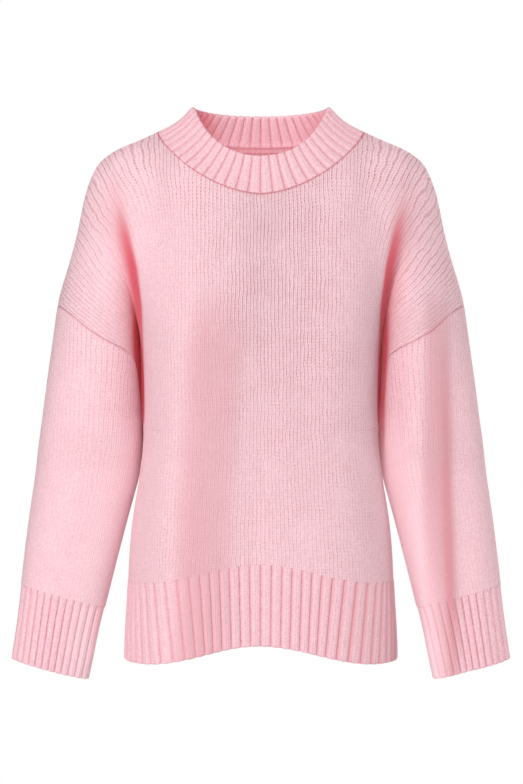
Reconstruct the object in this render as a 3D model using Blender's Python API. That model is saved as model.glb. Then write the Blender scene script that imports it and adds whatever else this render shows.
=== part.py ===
"""Mock neck sweater with dropped shoulders, filled out as if worn, with no wearer inside.

Millimetres until the meshes are made, +Z up, the front towards -Y. The origin is the middle of the
neck, at the height where the shoulders meet the collar. Each piece is a wall of knitted cloth: its
outer face is found first, and its inner face lies one cloth thickness inside it.

Seen from the front, the outer face is a height field. Every point (x, z) has a half depth in front
of the middle plane and one behind it. Below the underarm the torso and each sleeve are tubes of
their own. Above it they run together, with a crease between them that fades out up the shoulder.
"""

import bpy
import numpy as np

MM = 0.001

# Cloth
CLOTH = 3.0  # thickness of the plain knit
RIBBING = 4.0  # thickness of the ribbed collar, cuffs and hem
SEAM = 0.15  # half of the gap between two pieces at a seam
ARMHOLE_GAP = 0.45  # the whole gap at the armhole, measured straight up
COLLAR_GAP = 0.45

# Neckline and collar, as half widths, half depths and heights
NECK_HALF = 118.0
NECK_FRONT = -81.0
NECK_BACK = -20.0
NECK_SIDE = -4.0
NECK_ROUND = (1.75, 0.76)  # powers of the front neckline's curve, from the centre to the shoulder
COLLAR_HALF = 77.0
COLLAR_FRONT = (66.0, -36.7)  # depth and height of the top edge at the centre front
COLLAR_BACK = (43.0, 18.5)
COLLAR_SIDE = 25.5
COLLAR_SCOOP = 1.05
COLLAR_SAG = 2.5  # how much its sides hollow between neckline and top edge

# Underarm and the crease above it
UNDERARM = -345.0
CREASE_TOP = -104.0
CREASE_REACH = 35.0  # how far to each side of the crease its steep bottom is felt
CREASE_OVERLAP = 22.0  # how far torso and sleeve run into each other at its top
CREASE_ROUND = 5.0  # power that joins torso and sleeve: less is softer
CREASE_BEND = -150.0  # above this height the panel's crease line turns in to the neckline
UNDERARM_FADE = 5.0

# Hem and cuffs
HEM_TOP = -495.5  # at the centre front and centre back
HEM_BOTTOM = -587.0
HEM_ARCH = 21.5  # how much lower the hem hangs at the sides
HEM_FLAT = 0.9  # share of the half width over which it drops
CUFF_TOP = (-535.0, 13.0)  # height at mid sleeve, and how much its outer edge is above that
CUFF_BOTTOM = (-618.0, 12.0)

TORSO_POWER = 2.6  # a torso section is a superellipse: 2 is an ellipse, more is squarer
SLEEVE_POWER = 2.1

# Sections by height. Half widths: the outer edge of the shoulder and sleeve, the torso's side, the
# sleeve's inner edge. Half depths: the torso's front and back, the sleeve. Middles: where the side
# seam and the sleeve's inner edge lie, front to back. Powers: how squarely the front and back run
# from the centre to the shoulder edge.
COLUMNS = (
    "height", "outer", "torso", "inner", "front", "back", "sleeve",
    "torso_middle", "sleeve_middle", "front_power", "back_power",
)
SECTIONS = (
    (-4.0, 118.0, 163.0, 166.0, 22.0, 24.0, 30.0, 0.0, 0.0, 1.8, 1.75),
    (-14.0, 139.0, 163.0, 166.0, 40.0, 69.0, 31.0, 0.0, 0.0, 1.8, 1.75),
    (-23.0, 160.5, 163.0, 166.0, 51.0, 84.0, 32.0, 0.0, 0.0, 1.8, 1.75),
    (-32.0, 176.0, 163.0, 166.0, 60.0, 92.0, 33.0, 0.0, 0.0, 1.8, 1.75),
    (-41.0, 186.0, 163.0, 166.0, 67.5, 97.0, 34.0, 0.0, 0.0, 1.8, 1.75),
    (-51.0, 192.0, 163.0, 166.0, 74.5, 101.0, 35.0, 0.0, 0.0, 1.8, 1.8),
    (-60.0, 196.0, 163.0, 166.0, 80.0, 104.0, 36.0, 0.0, 0.0, 1.8, 1.8),
    (-78.0, 202.0, 163.0, 166.0, 88.0, 108.0, 38.0, 0.0, 0.0, 1.85, 1.8),
    (-104.0, 207.5, 161.0, 164.0, 98.0, 111.0, 48.0, 0.0, 0.0, 1.9, 1.85),
    (-152.0, 219.0, 150.0, 153.5, 115.0, 115.0, 60.0, 0.0, 0.0, 2.0, 2.0),
    (-198.0, 232.0, 141.0, 145.5, 124.0, 118.0, 63.0, 0.0, 0.0, 2.1, 2.1),
    (-233.0, 237.5, 136.5, 140.8, 128.0, 119.0, 62.0, 0.0, 0.0, 2.15, 2.15),
    (-290.0, 245.5, 133.4, 137.6, 130.0, 120.0, 62.0, 0.0, 0.0, 2.2, 2.2),
    (-345.0, 252.8, 133.6, 136.2, 130.0, 120.0, 61.0, 0.0, 0.0, 2.2, 2.2),
    (-370.0, 256.4, 134.8, 136.4, 129.5, 119.5, 59.0, -5.0, 4.0, 2.2, 2.2),
    (-391.0, 258.8, 137.6, 138.8, 129.0, 119.0, 57.0, -8.0, 6.5, 2.2, 2.2),
    (-405.0, 260.6, 139.6, 141.4, 129.0, 119.0, 56.0, -9.0, 6.0, 2.2, 2.2),
    (-428.0, 263.8, 143.4, 147.4, 128.0, 119.0, 54.0, -9.0, 2.5, 2.2, 2.2),
    (-465.0, 268.2, 148.4, 157.0, 127.0, 118.0, 50.0, -7.5, -6.0, 2.2, 2.2),
    (-501.0, 272.0, 151.0, 166.0, 126.0, 117.0, 46.0, -5.5, -14.0, 2.2, 2.2),
    (-538.0, 275.6, 153.0, 175.0, 124.5, 116.0, 42.0, -3.5, -21.0, 2.2, 2.2),
    (-575.0, 280.0, 155.4, 183.8, 123.0, 115.0, 38.0, -1.5, -27.0, 2.2, 2.2),
    (-605.0, 284.4, 156.4, 189.6, 121.0, 114.0, 35.0, 0.0, -30.5, 2.2, 2.2),
    (-635.0, 288.0, 156.6, 196.0, 120.0, 113.0, 33.0, 0.0, -32.0, 2.2, 2.2),
)

# Height of the armhole seam by the angle round the sleeve, from its outer edge to the underarm
ARMHOLE = (
    (0.0, -205.0),
    (30.0, -207.5),
    (60.0, -218.0),
    (90.0, -236.0),
    (120.0, -250.0),
    (140.0, -258.0),
    (152.0, -265.0),
    (160.0, -278.0),
    (167.0, -303.0),
    (173.5, -330.0),
    (180.0, UNDERARM),
)

# Mesh: segments along each stretch
CHEST_COLUMNS = 9  # from the centre line to the crease or side seam
SHOULDER_COLUMNS = 10  # from the crease to the shoulder edge, and round half a sleeve
YOKE_ROWS = 13  # from the neckline to the underarm
BODY_ROWS = 8  # from the underarm to the hem
SLEEVE_ROWS = 9
RIB_ROWS = 3
FINE = 320  # points on a row before it is divided evenly
ROW_CROWDING = 1.2  # rows close up towards the underarm
NECK_SPLIT = np.radians(52.0)  # where on the neckline the crease line of the panel ends

PINK = (0.86, 0.52, 0.57, 1.0)
RIB_PINK = (0.84, 0.50, 0.55, 1.0)
ROUGHNESS = 0.95

FRONT = -1.0
BACK = 1.0
ACROSS = 0.5 - 0.5 * np.cos(np.linspace(0.0, np.pi, FINE))  # 0 to 1, crowded at both ends


def spline(at, values):
    """Natural cubic spline through the values, as a function. The places rise."""
    at = np.asarray(at, float)
    values = np.asarray(values, float)
    gaps = np.diff(at)
    slopes = np.diff(values) / gaps
    system = np.eye(len(at))
    bends = np.zeros(len(at))
    for i in range(1, len(at) - 1):
        system[i, i - 1 : i + 2] = gaps[i - 1], 2.0 * (gaps[i - 1] + gaps[i]), gaps[i]
        bends[i] = 6.0 * (slopes[i] - slopes[i - 1])
    bends = np.linalg.solve(system, bends)

    def value(place):
        place = np.clip(place, at[0], at[-1])
        i = np.clip(np.searchsorted(at, place) - 1, 0, len(gaps) - 1)
        before = place - at[i]
        after = at[i + 1] - place
        curve = (bends[i] * after**3 + bends[i + 1] * before**3) / (6.0 * gaps[i])
        line = (values[i] / gaps[i] - bends[i] * gaps[i] / 6.0) * after
        line = line + (values[i + 1] / gaps[i] - bends[i + 1] * gaps[i] / 6.0) * before
        return curve + line

    return value


def profile(name):
    """A column of SECTIONS as a smooth function of height."""
    column = COLUMNS.index(name)
    rows = SECTIONS[::-1]
    return spline([row[0] for row in rows], [row[column] for row in rows])


def mirrored_armhole():
    """The armhole seam's height by angle, level where it crosses the top and the underarm."""
    before = [(-angle, height) for angle, height in ARMHOLE[1:3][::-1]]
    after = [(360.0 - angle, height) for angle, height in ARMHOLE[-4:-1][::-1]]
    table = before + list(ARMHOLE) + after
    return spline([np.radians(row[0]) for row in table], [row[1] for row in table])


OUTER, TORSO, INNER = profile("outer"), profile("torso"), profile("inner")
FRONT_DEPTH, BACK_DEPTH, SLEEVE_DEPTH = profile("front"), profile("back"), profile("sleeve")
TORSO_MIDDLE, SLEEVE_MIDDLE = profile("torso_middle"), profile("sleeve_middle")
FRONT_POWER, BACK_POWER = profile("front_power"), profile("back_power")
ARMHOLE_HEIGHT = mirrored_armhole()
UNDERARM_HALF = 0.5 * float(TORSO(UNDERARM) + INNER(UNDERARM))
UNDERARM_SLACK = 0.5 * float(INNER(UNDERARM) - TORSO(UNDERARM))


def superellipse(across, power):
    """Height of across^power + height^power = 1: 1 in the middle, 0 at the edge and past it."""
    return np.maximum(1.0 - np.minimum(np.abs(across), 1.0) ** power, 0.0) ** (1.0 / power)


def slack(z):
    """How far torso and sleeve close up just below the underarm, where they are sewn together."""
    below = np.maximum(UNDERARM - z, 0.0)
    return np.where(z > UNDERARM, 0.0, UNDERARM_SLACK * np.exp(-below / UNDERARM_FADE))


def torso_edge(z):
    return TORSO(z) + slack(z)


def sleeve_edge(z):
    return INNER(z) - slack(z)


def climb(z):
    """Share of the way up the crease: 0 at the underarm and below, 1 where it has faded out."""
    return np.clip((z - UNDERARM) / (CREASE_TOP - UNDERARM), 0.0, 1.0)


def torso_depth(x, z, side):
    depth = FRONT_DEPTH(z) if side == FRONT else BACK_DEPTH(z)
    depth = depth - side * body_middle(z)
    edge_here = torso_edge(z) + CREASE_OVERLAP * climb(z) ** 3
    return depth * superellipse(x / edge_here, TORSO_POWER)


def sleeve_depth(x, z):
    outer = OUTER(z)
    inner = sleeve_edge(z) - CREASE_OVERLAP * climb(z) ** 3
    return SLEEVE_DEPTH(z) * superellipse((2.0 * x - outer - inner) / (outer - inner), SLEEVE_POWER)


def shoulder_depth(x, z, side):
    """Half depth with no crease: one sweep from the centre to the outer edge."""
    if side == FRONT:
        return FRONT_DEPTH(z) * superellipse(x / OUTER(z), FRONT_POWER(z))
    return BACK_DEPTH(z) * superellipse(x / OUTER(z), BACK_POWER(z))


def yoke_depth(x, z, side):
    """Half depth above the underarm: the tubes mixed with the sweep that has no crease."""
    share = climb(z)
    steep = np.sqrt(share) * (0.1 + 0.5 * share + 0.4 * share**3)
    gentle = share**1.5
    near = np.exp(-(((x - 0.5 * (TORSO(z) + INNER(z))) / CREASE_REACH) ** 2))
    sweep = steep * near + gentle * (1.0 - near)
    tubes = torso_depth(x, z, side) ** CREASE_ROUND + sleeve_depth(x, z) ** CREASE_ROUND
    tubes = tubes ** (1.0 / CREASE_ROUND)
    return (1.0 - sweep) * tubes + sweep * shoulder_depth(x, z, side)


def body_depth(x, z, side):
    x = np.abs(x)
    return np.where(z > UNDERARM, yoke_depth(x, z, side), torso_depth(x, z, side))


def arm_depth(x, z, side):
    x = np.abs(x)
    return np.where(z > UNDERARM, yoke_depth(x, z, side), sleeve_depth(x, z))


def body_middle(z):
    return np.where(z > UNDERARM, 0.0, TORSO_MIDDLE(z))


def arm_middle(z):
    """The sleeve hangs close behind the torso's side, and its wrist hangs forward."""
    return np.where(z > UNDERARM, 0.0, SLEEVE_MIDDLE(z))


def outward(points, depth, middle, side):
    """Unit normals of the outer face, from the slope of (y - middle)^2 - depth^2."""
    step = 0.4

    def field(place):
        return (place[..., 1] - middle(place[..., 2])) ** 2 - depth(place[..., 0], place[..., 2], side) ** 2

    slope = [field(points + step * axis) - field(points - step * axis) for axis in np.eye(3)]
    normals = np.stack(slope, -1)
    corner = np.hypot(np.abs(points[..., 0]) - UNDERARM_HALF, points[..., 2] - UNDERARM) < 1.0
    normals[corner & (np.abs(points[..., 1]) < 1.0)] = (0.0, 0.0, -1.0)
    return normals / np.linalg.norm(normals, axis=-1, keepdims=True)


def evenly(row, segments):
    """A row of points divided into segments of equal length."""
    lengths = np.linalg.norm(np.diff(row, axis=0), axis=1)
    along = np.concatenate([[0.0], np.cumsum(lengths)])
    places = np.linspace(0.0, along[-1], segments + 1)
    return np.stack([np.interp(places, along, row[:, axis]) for axis in range(3)], -1)


def crease_line(z, side):
    """Half width of the line that parts chest from shoulder: the crease, then in to the neckline."""
    half = NECK_HALF * np.sin(NECK_SPLIT)
    top = neckline_height(NECK_SPLIT, side)
    turn = np.clip((z - CREASE_BEND) / (top - CREASE_BEND), 0.0, 1.0)
    turn = turn * turn * (3.0 - 2.0 * turn)
    return 0.5 * (TORSO(z) + INNER(z)) * (1.0 - turn) + half * turn


def neckline_height(angle, side):
    """Height of the neckline, by the angle round the neck from the centre front or back."""
    if side == FRONT:
        centre, shoulder = NECK_ROUND
        rise = 1.0 - (1.0 - np.sin(angle) ** centre) ** shoulder
        return NECK_FRONT + (NECK_SIDE - NECK_FRONT) * rise
    return NECK_BACK + (NECK_SIDE - NECK_BACK) * (1.0 - np.cos(angle))


def hem_drop(across):
    """How far the hem hangs below its centre, by the share of the half width."""
    return HEM_ARCH * 0.5 * (1.0 - np.cos(np.pi * np.minimum(across / HEM_FLAT, 1.0)))


def half_sleeve(angle, height):
    """Half width x of the point at this angle round the sleeve and this height."""
    outer = OUTER(height)
    inner = sleeve_edge(height)
    return 0.5 * (outer + inner) + 0.5 * (outer - inner) * np.cos(angle)


def coons(top, bottom, left, right):
    """Rows between four edges, each as (shares across, heights). Left and right go by share down."""
    rows = []
    for down in 1.0 - (1.0 - np.linspace(0.0, 1.0, YOKE_ROWS + 1)) ** ROW_CROWDING:
        row = (1.0 - down) * top + down * bottom
        row = row + np.outer(1.0 - ACROSS, left(down) - row[0]) + np.outer(ACROSS, right(down) - row[-1])
        rows.append(row.T)
    return rows


def ridge_height():
    """Height on the shoulder edge, by the share of its length from the neck to the armhole."""
    heights = np.linspace(NECK_SIDE, ARMHOLE_HEIGHT(0.0), FINE)
    lengths = np.hypot(np.diff(heights), np.diff(OUTER(heights)))
    along = np.concatenate([[0.0], np.cumsum(lengths)])
    return lambda share: np.interp(share, along / along[-1], heights)


def lift(x, z, depth, middle, side):
    """Points of the outer face over (x, z)."""
    return np.stack([x, middle(z) + side * depth(x, z, side), z], -1)


def edge(across, heights):
    """An edge of a patch as rows of (share across, height)."""
    across, heights = np.broadcast_arrays(across, heights)
    return np.stack([across, heights], -1)


def chest_grid(side):
    """Half a front or back from the centre line to the crease, above the underarm."""
    angles = NECK_SPLIT * ACROSS
    heights = neckline_height(angles, side)
    top = edge(NECK_HALF * np.sin(angles) / crease_line(heights, side), heights)
    rows = coons(
        top,
        edge(ACROSS, UNDERARM),
        lambda v: np.array([0.0, heights[0] + (UNDERARM - heights[0]) * v]),
        lambda v: np.array([1.0, heights[-1] + (UNDERARM - heights[-1]) * v]),
    )
    lifted = [lift(q * crease_line(z, side), z, body_depth, body_middle, side) for q, z in rows]
    return np.array([evenly(row, CHEST_COLUMNS) for row in lifted])


def shoulder_grid(side):
    """The rest of the half, from the crease to the shoulder edge and down to the armhole."""
    angles = NECK_SPLIT + (0.5 * np.pi - NECK_SPLIT) * ACROSS
    heights = neckline_height(angles, side)
    line = crease_line(heights, side)
    top = edge((NECK_HALF * np.sin(angles) - line) / (OUTER(heights) - line), heights)
    round_arm = np.pi * (1.0 - ACROSS)
    seam = ARMHOLE_HEIGHT(round_arm)
    line = crease_line(seam, side)
    bottom = edge((half_sleeve(round_arm, seam) - line) / (OUTER(seam) - line), seam)
    bottom[0, 0] = 0.0
    ridge = ridge_height()
    rows = coons(
        top,
        bottom,
        lambda v: np.array([0.0, heights[0] + (UNDERARM - heights[0]) * v]),
        lambda v: np.array([1.0, ridge(v)]),
    )
    lifted = []
    for q, z in rows:
        line = crease_line(z, side)
        lifted.append(lift(line + q * (OUTER(z) - line), z, body_depth, body_middle, side))
    return np.array([evenly(row, SHOULDER_COLUMNS) for row in lifted])


def torso_grid(top, bottom, count, side):
    """Rows round half the torso below the underarm, between two edges by share of the half width."""
    rows = []
    for share in np.linspace(0.0, 1.0, count + 1):
        z = top(ACROSS) + (bottom(ACROSS) - top(ACROSS)) * share
        rows.append(evenly(lift(ACROSS * torso_edge(z), z, body_depth, body_middle, side), CHEST_COLUMNS))
    return np.array(rows)


def underarm_level(across):
    return np.full_like(across, UNDERARM)


def hem_level(height):
    return lambda across: height - hem_drop(across)


def half_panel(side):
    """Half a front or back, from the neckline to the hem ribbing, as (points, normals) patches."""
    chest, shoulder = chest_grid(side), shoulder_grid(side)
    shoulder[:, 0] = chest[:, -1]
    below = torso_grid(underarm_level, hem_level(HEM_TOP), BODY_ROWS, side)
    chest = np.concatenate([chest, below[1:]])
    patches = [(grid, outward(grid, body_depth, body_middle, side)) for grid in (chest, shoulder)]
    # the pieces part a little at every seam
    for grid in (chest, shoulder):
        grid[..., 1] += side * SEAM
        grid[0, :, 2] -= SEAM
    chest[-1, :, 2] += SEAM
    chest[YOKE_ROWS, -1, 2] += ARMHOLE_GAP
    shoulder[-1, :, 2] += ARMHOLE_GAP
    return patches


def half_hem(side):
    """The ribbing below a half panel."""
    grid = torso_grid(hem_level(HEM_TOP), hem_level(HEM_BOTTOM), RIB_ROWS, side)
    normals = outward(grid, body_depth, body_middle, side)
    grid[..., 1] += side * SEAM
    grid[0, :, 2] -= SEAM
    return [(grid, normals)]


def arm_grid(top, bottom, count, side):
    """Rows round half a sleeve, from the outer edge to the inner one, between two slanting edges."""
    angles = np.pi * ACROSS
    rows = []
    for share in np.linspace(0.0, 1.0, count + 1):
        z = top(angles) + (bottom(angles) - top(angles)) * share
        rows.append(evenly(lift(half_sleeve(angles, z), z, arm_depth, arm_middle, side), SHOULDER_COLUMNS))
    return np.array(rows)


def cuff_level(place):
    height, slant = place
    return lambda angles: height + slant * np.cos(angles)


def half_sleeve_patch(side):
    grid = arm_grid(ARMHOLE_HEIGHT, cuff_level(CUFF_TOP), SLEEVE_ROWS, side)
    normals = outward(grid, arm_depth, arm_middle, side)
    grid[-1, :, 2] += SEAM
    return grid, normals


def half_cuff_patch(side):
    grid = arm_grid(cuff_level(CUFF_TOP), cuff_level(CUFF_BOTTOM), RIB_ROWS, side)
    normals = outward(grid, arm_depth, arm_middle, side)
    grid[0, :, 2] -= SEAM
    return grid, normals


def neckline_ring():
    """The neckline as a ring of points and normals, right to left round the front, then the back."""
    points = []
    normals = []
    for side in (FRONT, BACK):
        half = np.concatenate([chest_grid(side)[0], shoulder_grid(side)[0, 1:]])
        lean = outward(half, body_depth, body_middle, side)
        mirror = np.array([-1.0, 1.0, 1.0])
        points.append(np.concatenate([half[:0:-1] * mirror, half]))
        normals.append(np.concatenate([lean[:0:-1] * mirror, lean]))
    ring = np.concatenate([points[0], points[1][-2:0:-1]])
    return ring, np.concatenate([normals[0], normals[1][-2:0:-1]])


def collar_top(ring):
    """The collar's top edge above each point of the neckline."""
    angle = np.arcsin(np.clip(ring[:, 0] / NECK_HALF, -1.0, 1.0))
    rise = 1.0 - np.cos(angle)
    front = ring[:, 1] <= 0.0
    depth = np.where(front, -COLLAR_FRONT[0], COLLAR_BACK[0]) * np.cos(angle)
    height = np.where(front, COLLAR_FRONT[1], COLLAR_BACK[1])
    height = height + (COLLAR_SIDE - height) * np.where(front, rise**COLLAR_SCOOP, rise)
    return np.stack([COLLAR_HALF * np.sin(angle), depth, height], -1)


def collar_patch():
    """The collar's outer face, in rows from the neckline up, as (points, normals)."""
    ring, lean = neckline_ring()
    top = collar_top(ring)
    up = top - ring
    ring = ring + COLLAR_GAP * up / np.linalg.norm(up, axis=1, keepdims=True)
    share = np.linspace(0.0, 1.0, RIB_ROWS + 1)[:, None, None]
    rows = ring + (top - ring) * share
    along = np.roll(rows, -1, axis=1) - np.roll(rows, 1, axis=1)
    normals = np.cross(along, np.broadcast_to(up, rows.shape))
    normals /= np.linalg.norm(normals, axis=-1, keepdims=True)
    normals *= np.sign((normals * rows * (1.0, 1.0, 0.0)).sum())
    rows = rows - COLLAR_SAG * 4.0 * share * (1.0 - share) * normals
    normals[0] = lean
    rows = np.concatenate([rows, rows[:, :1]], axis=1)
    return rows, np.concatenate([normals, normals[:, :1]], axis=1)


def split(quads, points):
    """Each four-sided face as two triangles, along its shorter diagonal."""
    a, b, c, d = quads.T
    short = np.linalg.norm(points[a] - points[c], axis=1) <= np.linalg.norm(points[b] - points[d], axis=1)
    first = np.where(short[:, None], np.stack([a, b, c], -1), np.stack([a, b, d], -1))
    second = np.where(short[:, None], np.stack([a, c, d], -1), np.stack([b, c, d], -1))
    return np.concatenate([first, second])


def shell(name, patches, thickness, material):
    """A closed wall of cloth from patches of its outer face, each (points, normals) on a grid."""
    points = np.concatenate([points.reshape(-1, 3) for points, _ in patches])
    normals = np.concatenate([normals.reshape(-1, 3) for _, normals in patches])
    quads = []
    start = 0
    for grid, lean in patches:
        rows, columns = grid.shape[:2]
        index = start + np.arange(rows * columns).reshape(rows, columns)
        faces = np.stack([index[:-1, :-1], index[:-1, 1:], index[1:, 1:], index[1:, :-1]], -1).reshape(-1, 4)
        diagonals = points[faces[:, 2]] - points[faces[:, 0]], points[faces[:, 3]] - points[faces[:, 1]]
        facing = (np.cross(*diagonals) * normals[faces].mean(axis=1)).sum()
        quads.append(faces if facing > 0 else faces[:, ::-1])
        start += rows * columns
    keys, first, weld = np.unique(np.round(points, 3), axis=0, return_index=True, return_inverse=True)
    faces = weld.reshape(-1)[np.concatenate(quads)]
    points = points[first]
    inside = points - thickness * normals[first]

    starts = faces.ravel()
    ends = np.roll(faces, -1, axis=1).ravel()
    joined = set(zip(starts.tolist(), ends.tolist()))
    rim = np.array(sorted((a, b) for a, b in joined if (b, a) not in joined))
    both = np.concatenate([points, inside])
    count = len(points)
    outer_faces = split(faces, points)
    rim_faces = split(np.stack([rim[:, 1], rim[:, 0], rim[:, 0] + count, rim[:, 1] + count], -1), both)
    walls = np.concatenate([outer_faces, outer_faces[:, ::-1] + count, rim_faces])
    mesh = bpy.data.meshes.new(name)
    mesh.from_pydata((both * MM).tolist(), [], walls.tolist())
    mesh.validate()
    mesh.shade_smooth()
    mesh.set_sharp_from_angle(angle=np.radians(60.0))
    mesh.materials.append(material)
    piece = bpy.data.objects.new(name, mesh)
    bpy.context.scene.collection.objects.link(piece)
    return piece


def both_halves(patches):
    """The patches and their mirror images across the centre."""
    mirror = np.array([-1.0, 1.0, 1.0])
    return patches + [(points * mirror, normals * mirror) for points, normals in patches]


def both_sides(patch_of, hand):
    """Front and back half of one sleeve or cuff; hand is +1 at +X and -1 at -X."""
    turn = np.array([hand, 1.0, 1.0])
    found = [patch_of(side) for side in (FRONT, BACK)]
    return [(points * turn, normals * turn) for points, normals in found]


def yarn(name, colour):
    material = bpy.data.materials.new(name)
    material.use_nodes = True
    surface = material.node_tree.nodes["Principled BSDF"]
    surface.inputs["Base Color"].default_value = colour
    surface.inputs["Roughness"].default_value = ROUGHNESS
    surface.inputs["Metallic"].default_value = 0.0
    return material


def clear_scene():
    for piece in list(bpy.data.objects):
        bpy.data.objects.remove(piece)


def main():
    clear_scene()
    plain = yarn("plain_knit", PINK)
    rib = yarn("ribbed_knit", RIB_PINK)
    for name, side in (("front", FRONT), ("back", BACK)):
        shell(name, both_halves(half_panel(side)), CLOTH, plain)
        shell(f"hem_{name}", both_halves(half_hem(side)), RIBBING, rib)
    for name, hand in (("left", 1.0), ("right", -1.0)):
        shell(f"sleeve_{name}", both_sides(half_sleeve_patch, hand), CLOTH, plain)
        shell(f"cuff_{name}", both_sides(half_cuff_patch, hand), RIBBING, rib)
    shell("collar", [collar_patch()], RIBBING, rib)


main()
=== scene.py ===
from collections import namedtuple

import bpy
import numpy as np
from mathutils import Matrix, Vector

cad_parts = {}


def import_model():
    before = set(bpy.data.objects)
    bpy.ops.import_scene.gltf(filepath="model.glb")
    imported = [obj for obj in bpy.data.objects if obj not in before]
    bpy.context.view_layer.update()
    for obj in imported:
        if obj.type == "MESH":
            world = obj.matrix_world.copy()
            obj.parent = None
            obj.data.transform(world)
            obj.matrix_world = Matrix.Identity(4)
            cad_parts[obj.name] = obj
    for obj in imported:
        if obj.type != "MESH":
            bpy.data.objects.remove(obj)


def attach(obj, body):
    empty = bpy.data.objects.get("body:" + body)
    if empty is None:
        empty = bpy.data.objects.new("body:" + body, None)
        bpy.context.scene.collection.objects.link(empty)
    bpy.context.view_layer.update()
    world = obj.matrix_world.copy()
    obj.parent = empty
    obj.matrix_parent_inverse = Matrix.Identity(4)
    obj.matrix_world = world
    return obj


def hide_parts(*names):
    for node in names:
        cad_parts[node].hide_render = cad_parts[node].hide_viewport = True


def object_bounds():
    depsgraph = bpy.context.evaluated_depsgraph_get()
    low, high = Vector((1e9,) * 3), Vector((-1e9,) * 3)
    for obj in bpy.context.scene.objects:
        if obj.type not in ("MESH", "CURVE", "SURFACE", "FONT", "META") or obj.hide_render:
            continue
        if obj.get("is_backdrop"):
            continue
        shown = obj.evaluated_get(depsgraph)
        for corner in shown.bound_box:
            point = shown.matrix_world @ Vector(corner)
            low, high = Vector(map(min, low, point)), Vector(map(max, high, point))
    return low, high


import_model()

# Mock neck sweater in pale pink yarn, filled out as if worn.
#
# Every piece is a wall of knitted cloth on the same outer form as its solid: millimetres until the
# meshes are made, +Z up, the front towards -Y, the origin in the middle of the neck. A piece is a
# set of grids of points of its outer face. Both faces are laid half a wall either side of the
# middle of the cloth, and they meet along its edges, which are round. Folds move the whole wall,
# ribs stand up from both faces, and the stitches are in the materials.

cad_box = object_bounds()

MM = 0.001

# Cloth
CLOTH = 3.0  # thickness of the plain knit
RIBBING = 4.0  # thickness of the ribbed collar, cuffs and hem
WALE = 4.7  # width of a stitch of the plain knit
COURSE = 3.4  # height of a stitch
SEAM = 0.15  # half of the gap between two pieces at a seam
SEAM_FADE = 6.0  # the gap closes over this much of the cloth beside it
ARMHOLE_GAP = 0.24  # the whole gap at the armhole, measured straight up
COLLAR_GAP = 0.45
COLLAR_TOOTH = 1.5  # how far the collar's stitches reach down over its seam

# Neckline and collar, as half widths, half depths and heights
NECK_HALF = 118.0
NECK_FRONT = -81.0
NECK_BACK = -20.0
NECK_SIDE = -4.0
NECK_ROUND = (1.75, 0.76)  # powers of the front neckline's curve, from the centre to the shoulder
COLLAR_HALF = 77.0
COLLAR_FRONT = (66.0, -36.7)  # depth and height of the top edge at the centre front
COLLAR_BACK = (43.0, 18.5)
COLLAR_SIDE = 22.2
COLLAR_CORNER = 0.4  # how rounded its top corners are
COLLAR_SCOOP = 1.05
COLLAR_SAG = 2.5  # how much its sides hollow between neckline and top edge

# Underarm and the crease above it
UNDERARM = -345.0
CREASE_TOP = -104.0
CREASE_REACH = 35.0
CREASE_OVERLAP = 22.0
CREASE_ROUND = 5.0
CREASE_BEND = -150.0
UNDERARM_FADE = 9.0
TOUCH_GAP = 0.3  # half the gap where the sleeve lies against the torso, below the underarm
TOUCH_START = 8.0  # the gap sets in over this much
TOUCH_DOWN = 36.0  # this far below the underarm the two start to part,
TOUCH_END = 34.0  # over this much

# Painted shade of the crease by how far below the neck: where it is darkest, how far it spreads to
# the torso, how much of it is fully dark and how far it spreads to the sleeve, and how dark it is
SHADE_HEIGHTS = (55, 77, 100, 128, 163, 209, 255, 312, 365, 420)
SHADE_LINE = (169, 165, 159, 150.5, 141.5, 134.6, 132.6, 132.6, 134, 136)
SHADE_IN = (12, 11, 8, 5.5, 3.8, 2.6, 2.2, 2.2, 2.5, 2.5)
SHADE_FULL = (0, 0, 1, 2.8, 3.6, 3.4, 4.2, 2.4, 0.8, 0.5)
SHADE_OUT = (14, 14, 14, 14, 12, 8, 3.6, 2, 1.8, 1.8)
SHADE_OTHER = 4.0  # how much further it spreads at the wearer's left,
SHADE_OTHER_FROM = (180.0, 80.0)  # from this far below the neck, growing over this much
SHADE_DEPTH = (0.0, 0.16, 0.45, 0.74, 0.92, 1.0, 1.0, 0.9, 0.45, 0.0)
NECK_SHADE = 0.8  # how dark the painted shade along the collar's seam is
# how dark the painted shade along the armhole seam is
ARMHOLE_SHADE = 0.3
SEAM_TOOTH = 1.3  # how far the shade below a seam reaches down beside each stitch
SEAM_WIDTHS = (1.4, 1.2)  # of the shade below a seam and above one

# Hem and cuffs
HEM_TOP = -495.5
HEM_BOTTOM = -587.0
HEM_ARCH = 21.5
HEM_FLAT = 0.9
CUFF_TOP = (-535.0, 13.0)  # height at mid sleeve, and how much its outer edge is above that
CUFF_BOTTOM = (-618.0, 12.0)
HEM_DEPTH = 90.0  # about, to place the rows of its rounded edges
CUFF_DEPTH = 83.0

TORSO_POWER = 2.6
SLEEVE_POWER = 2.1

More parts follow.
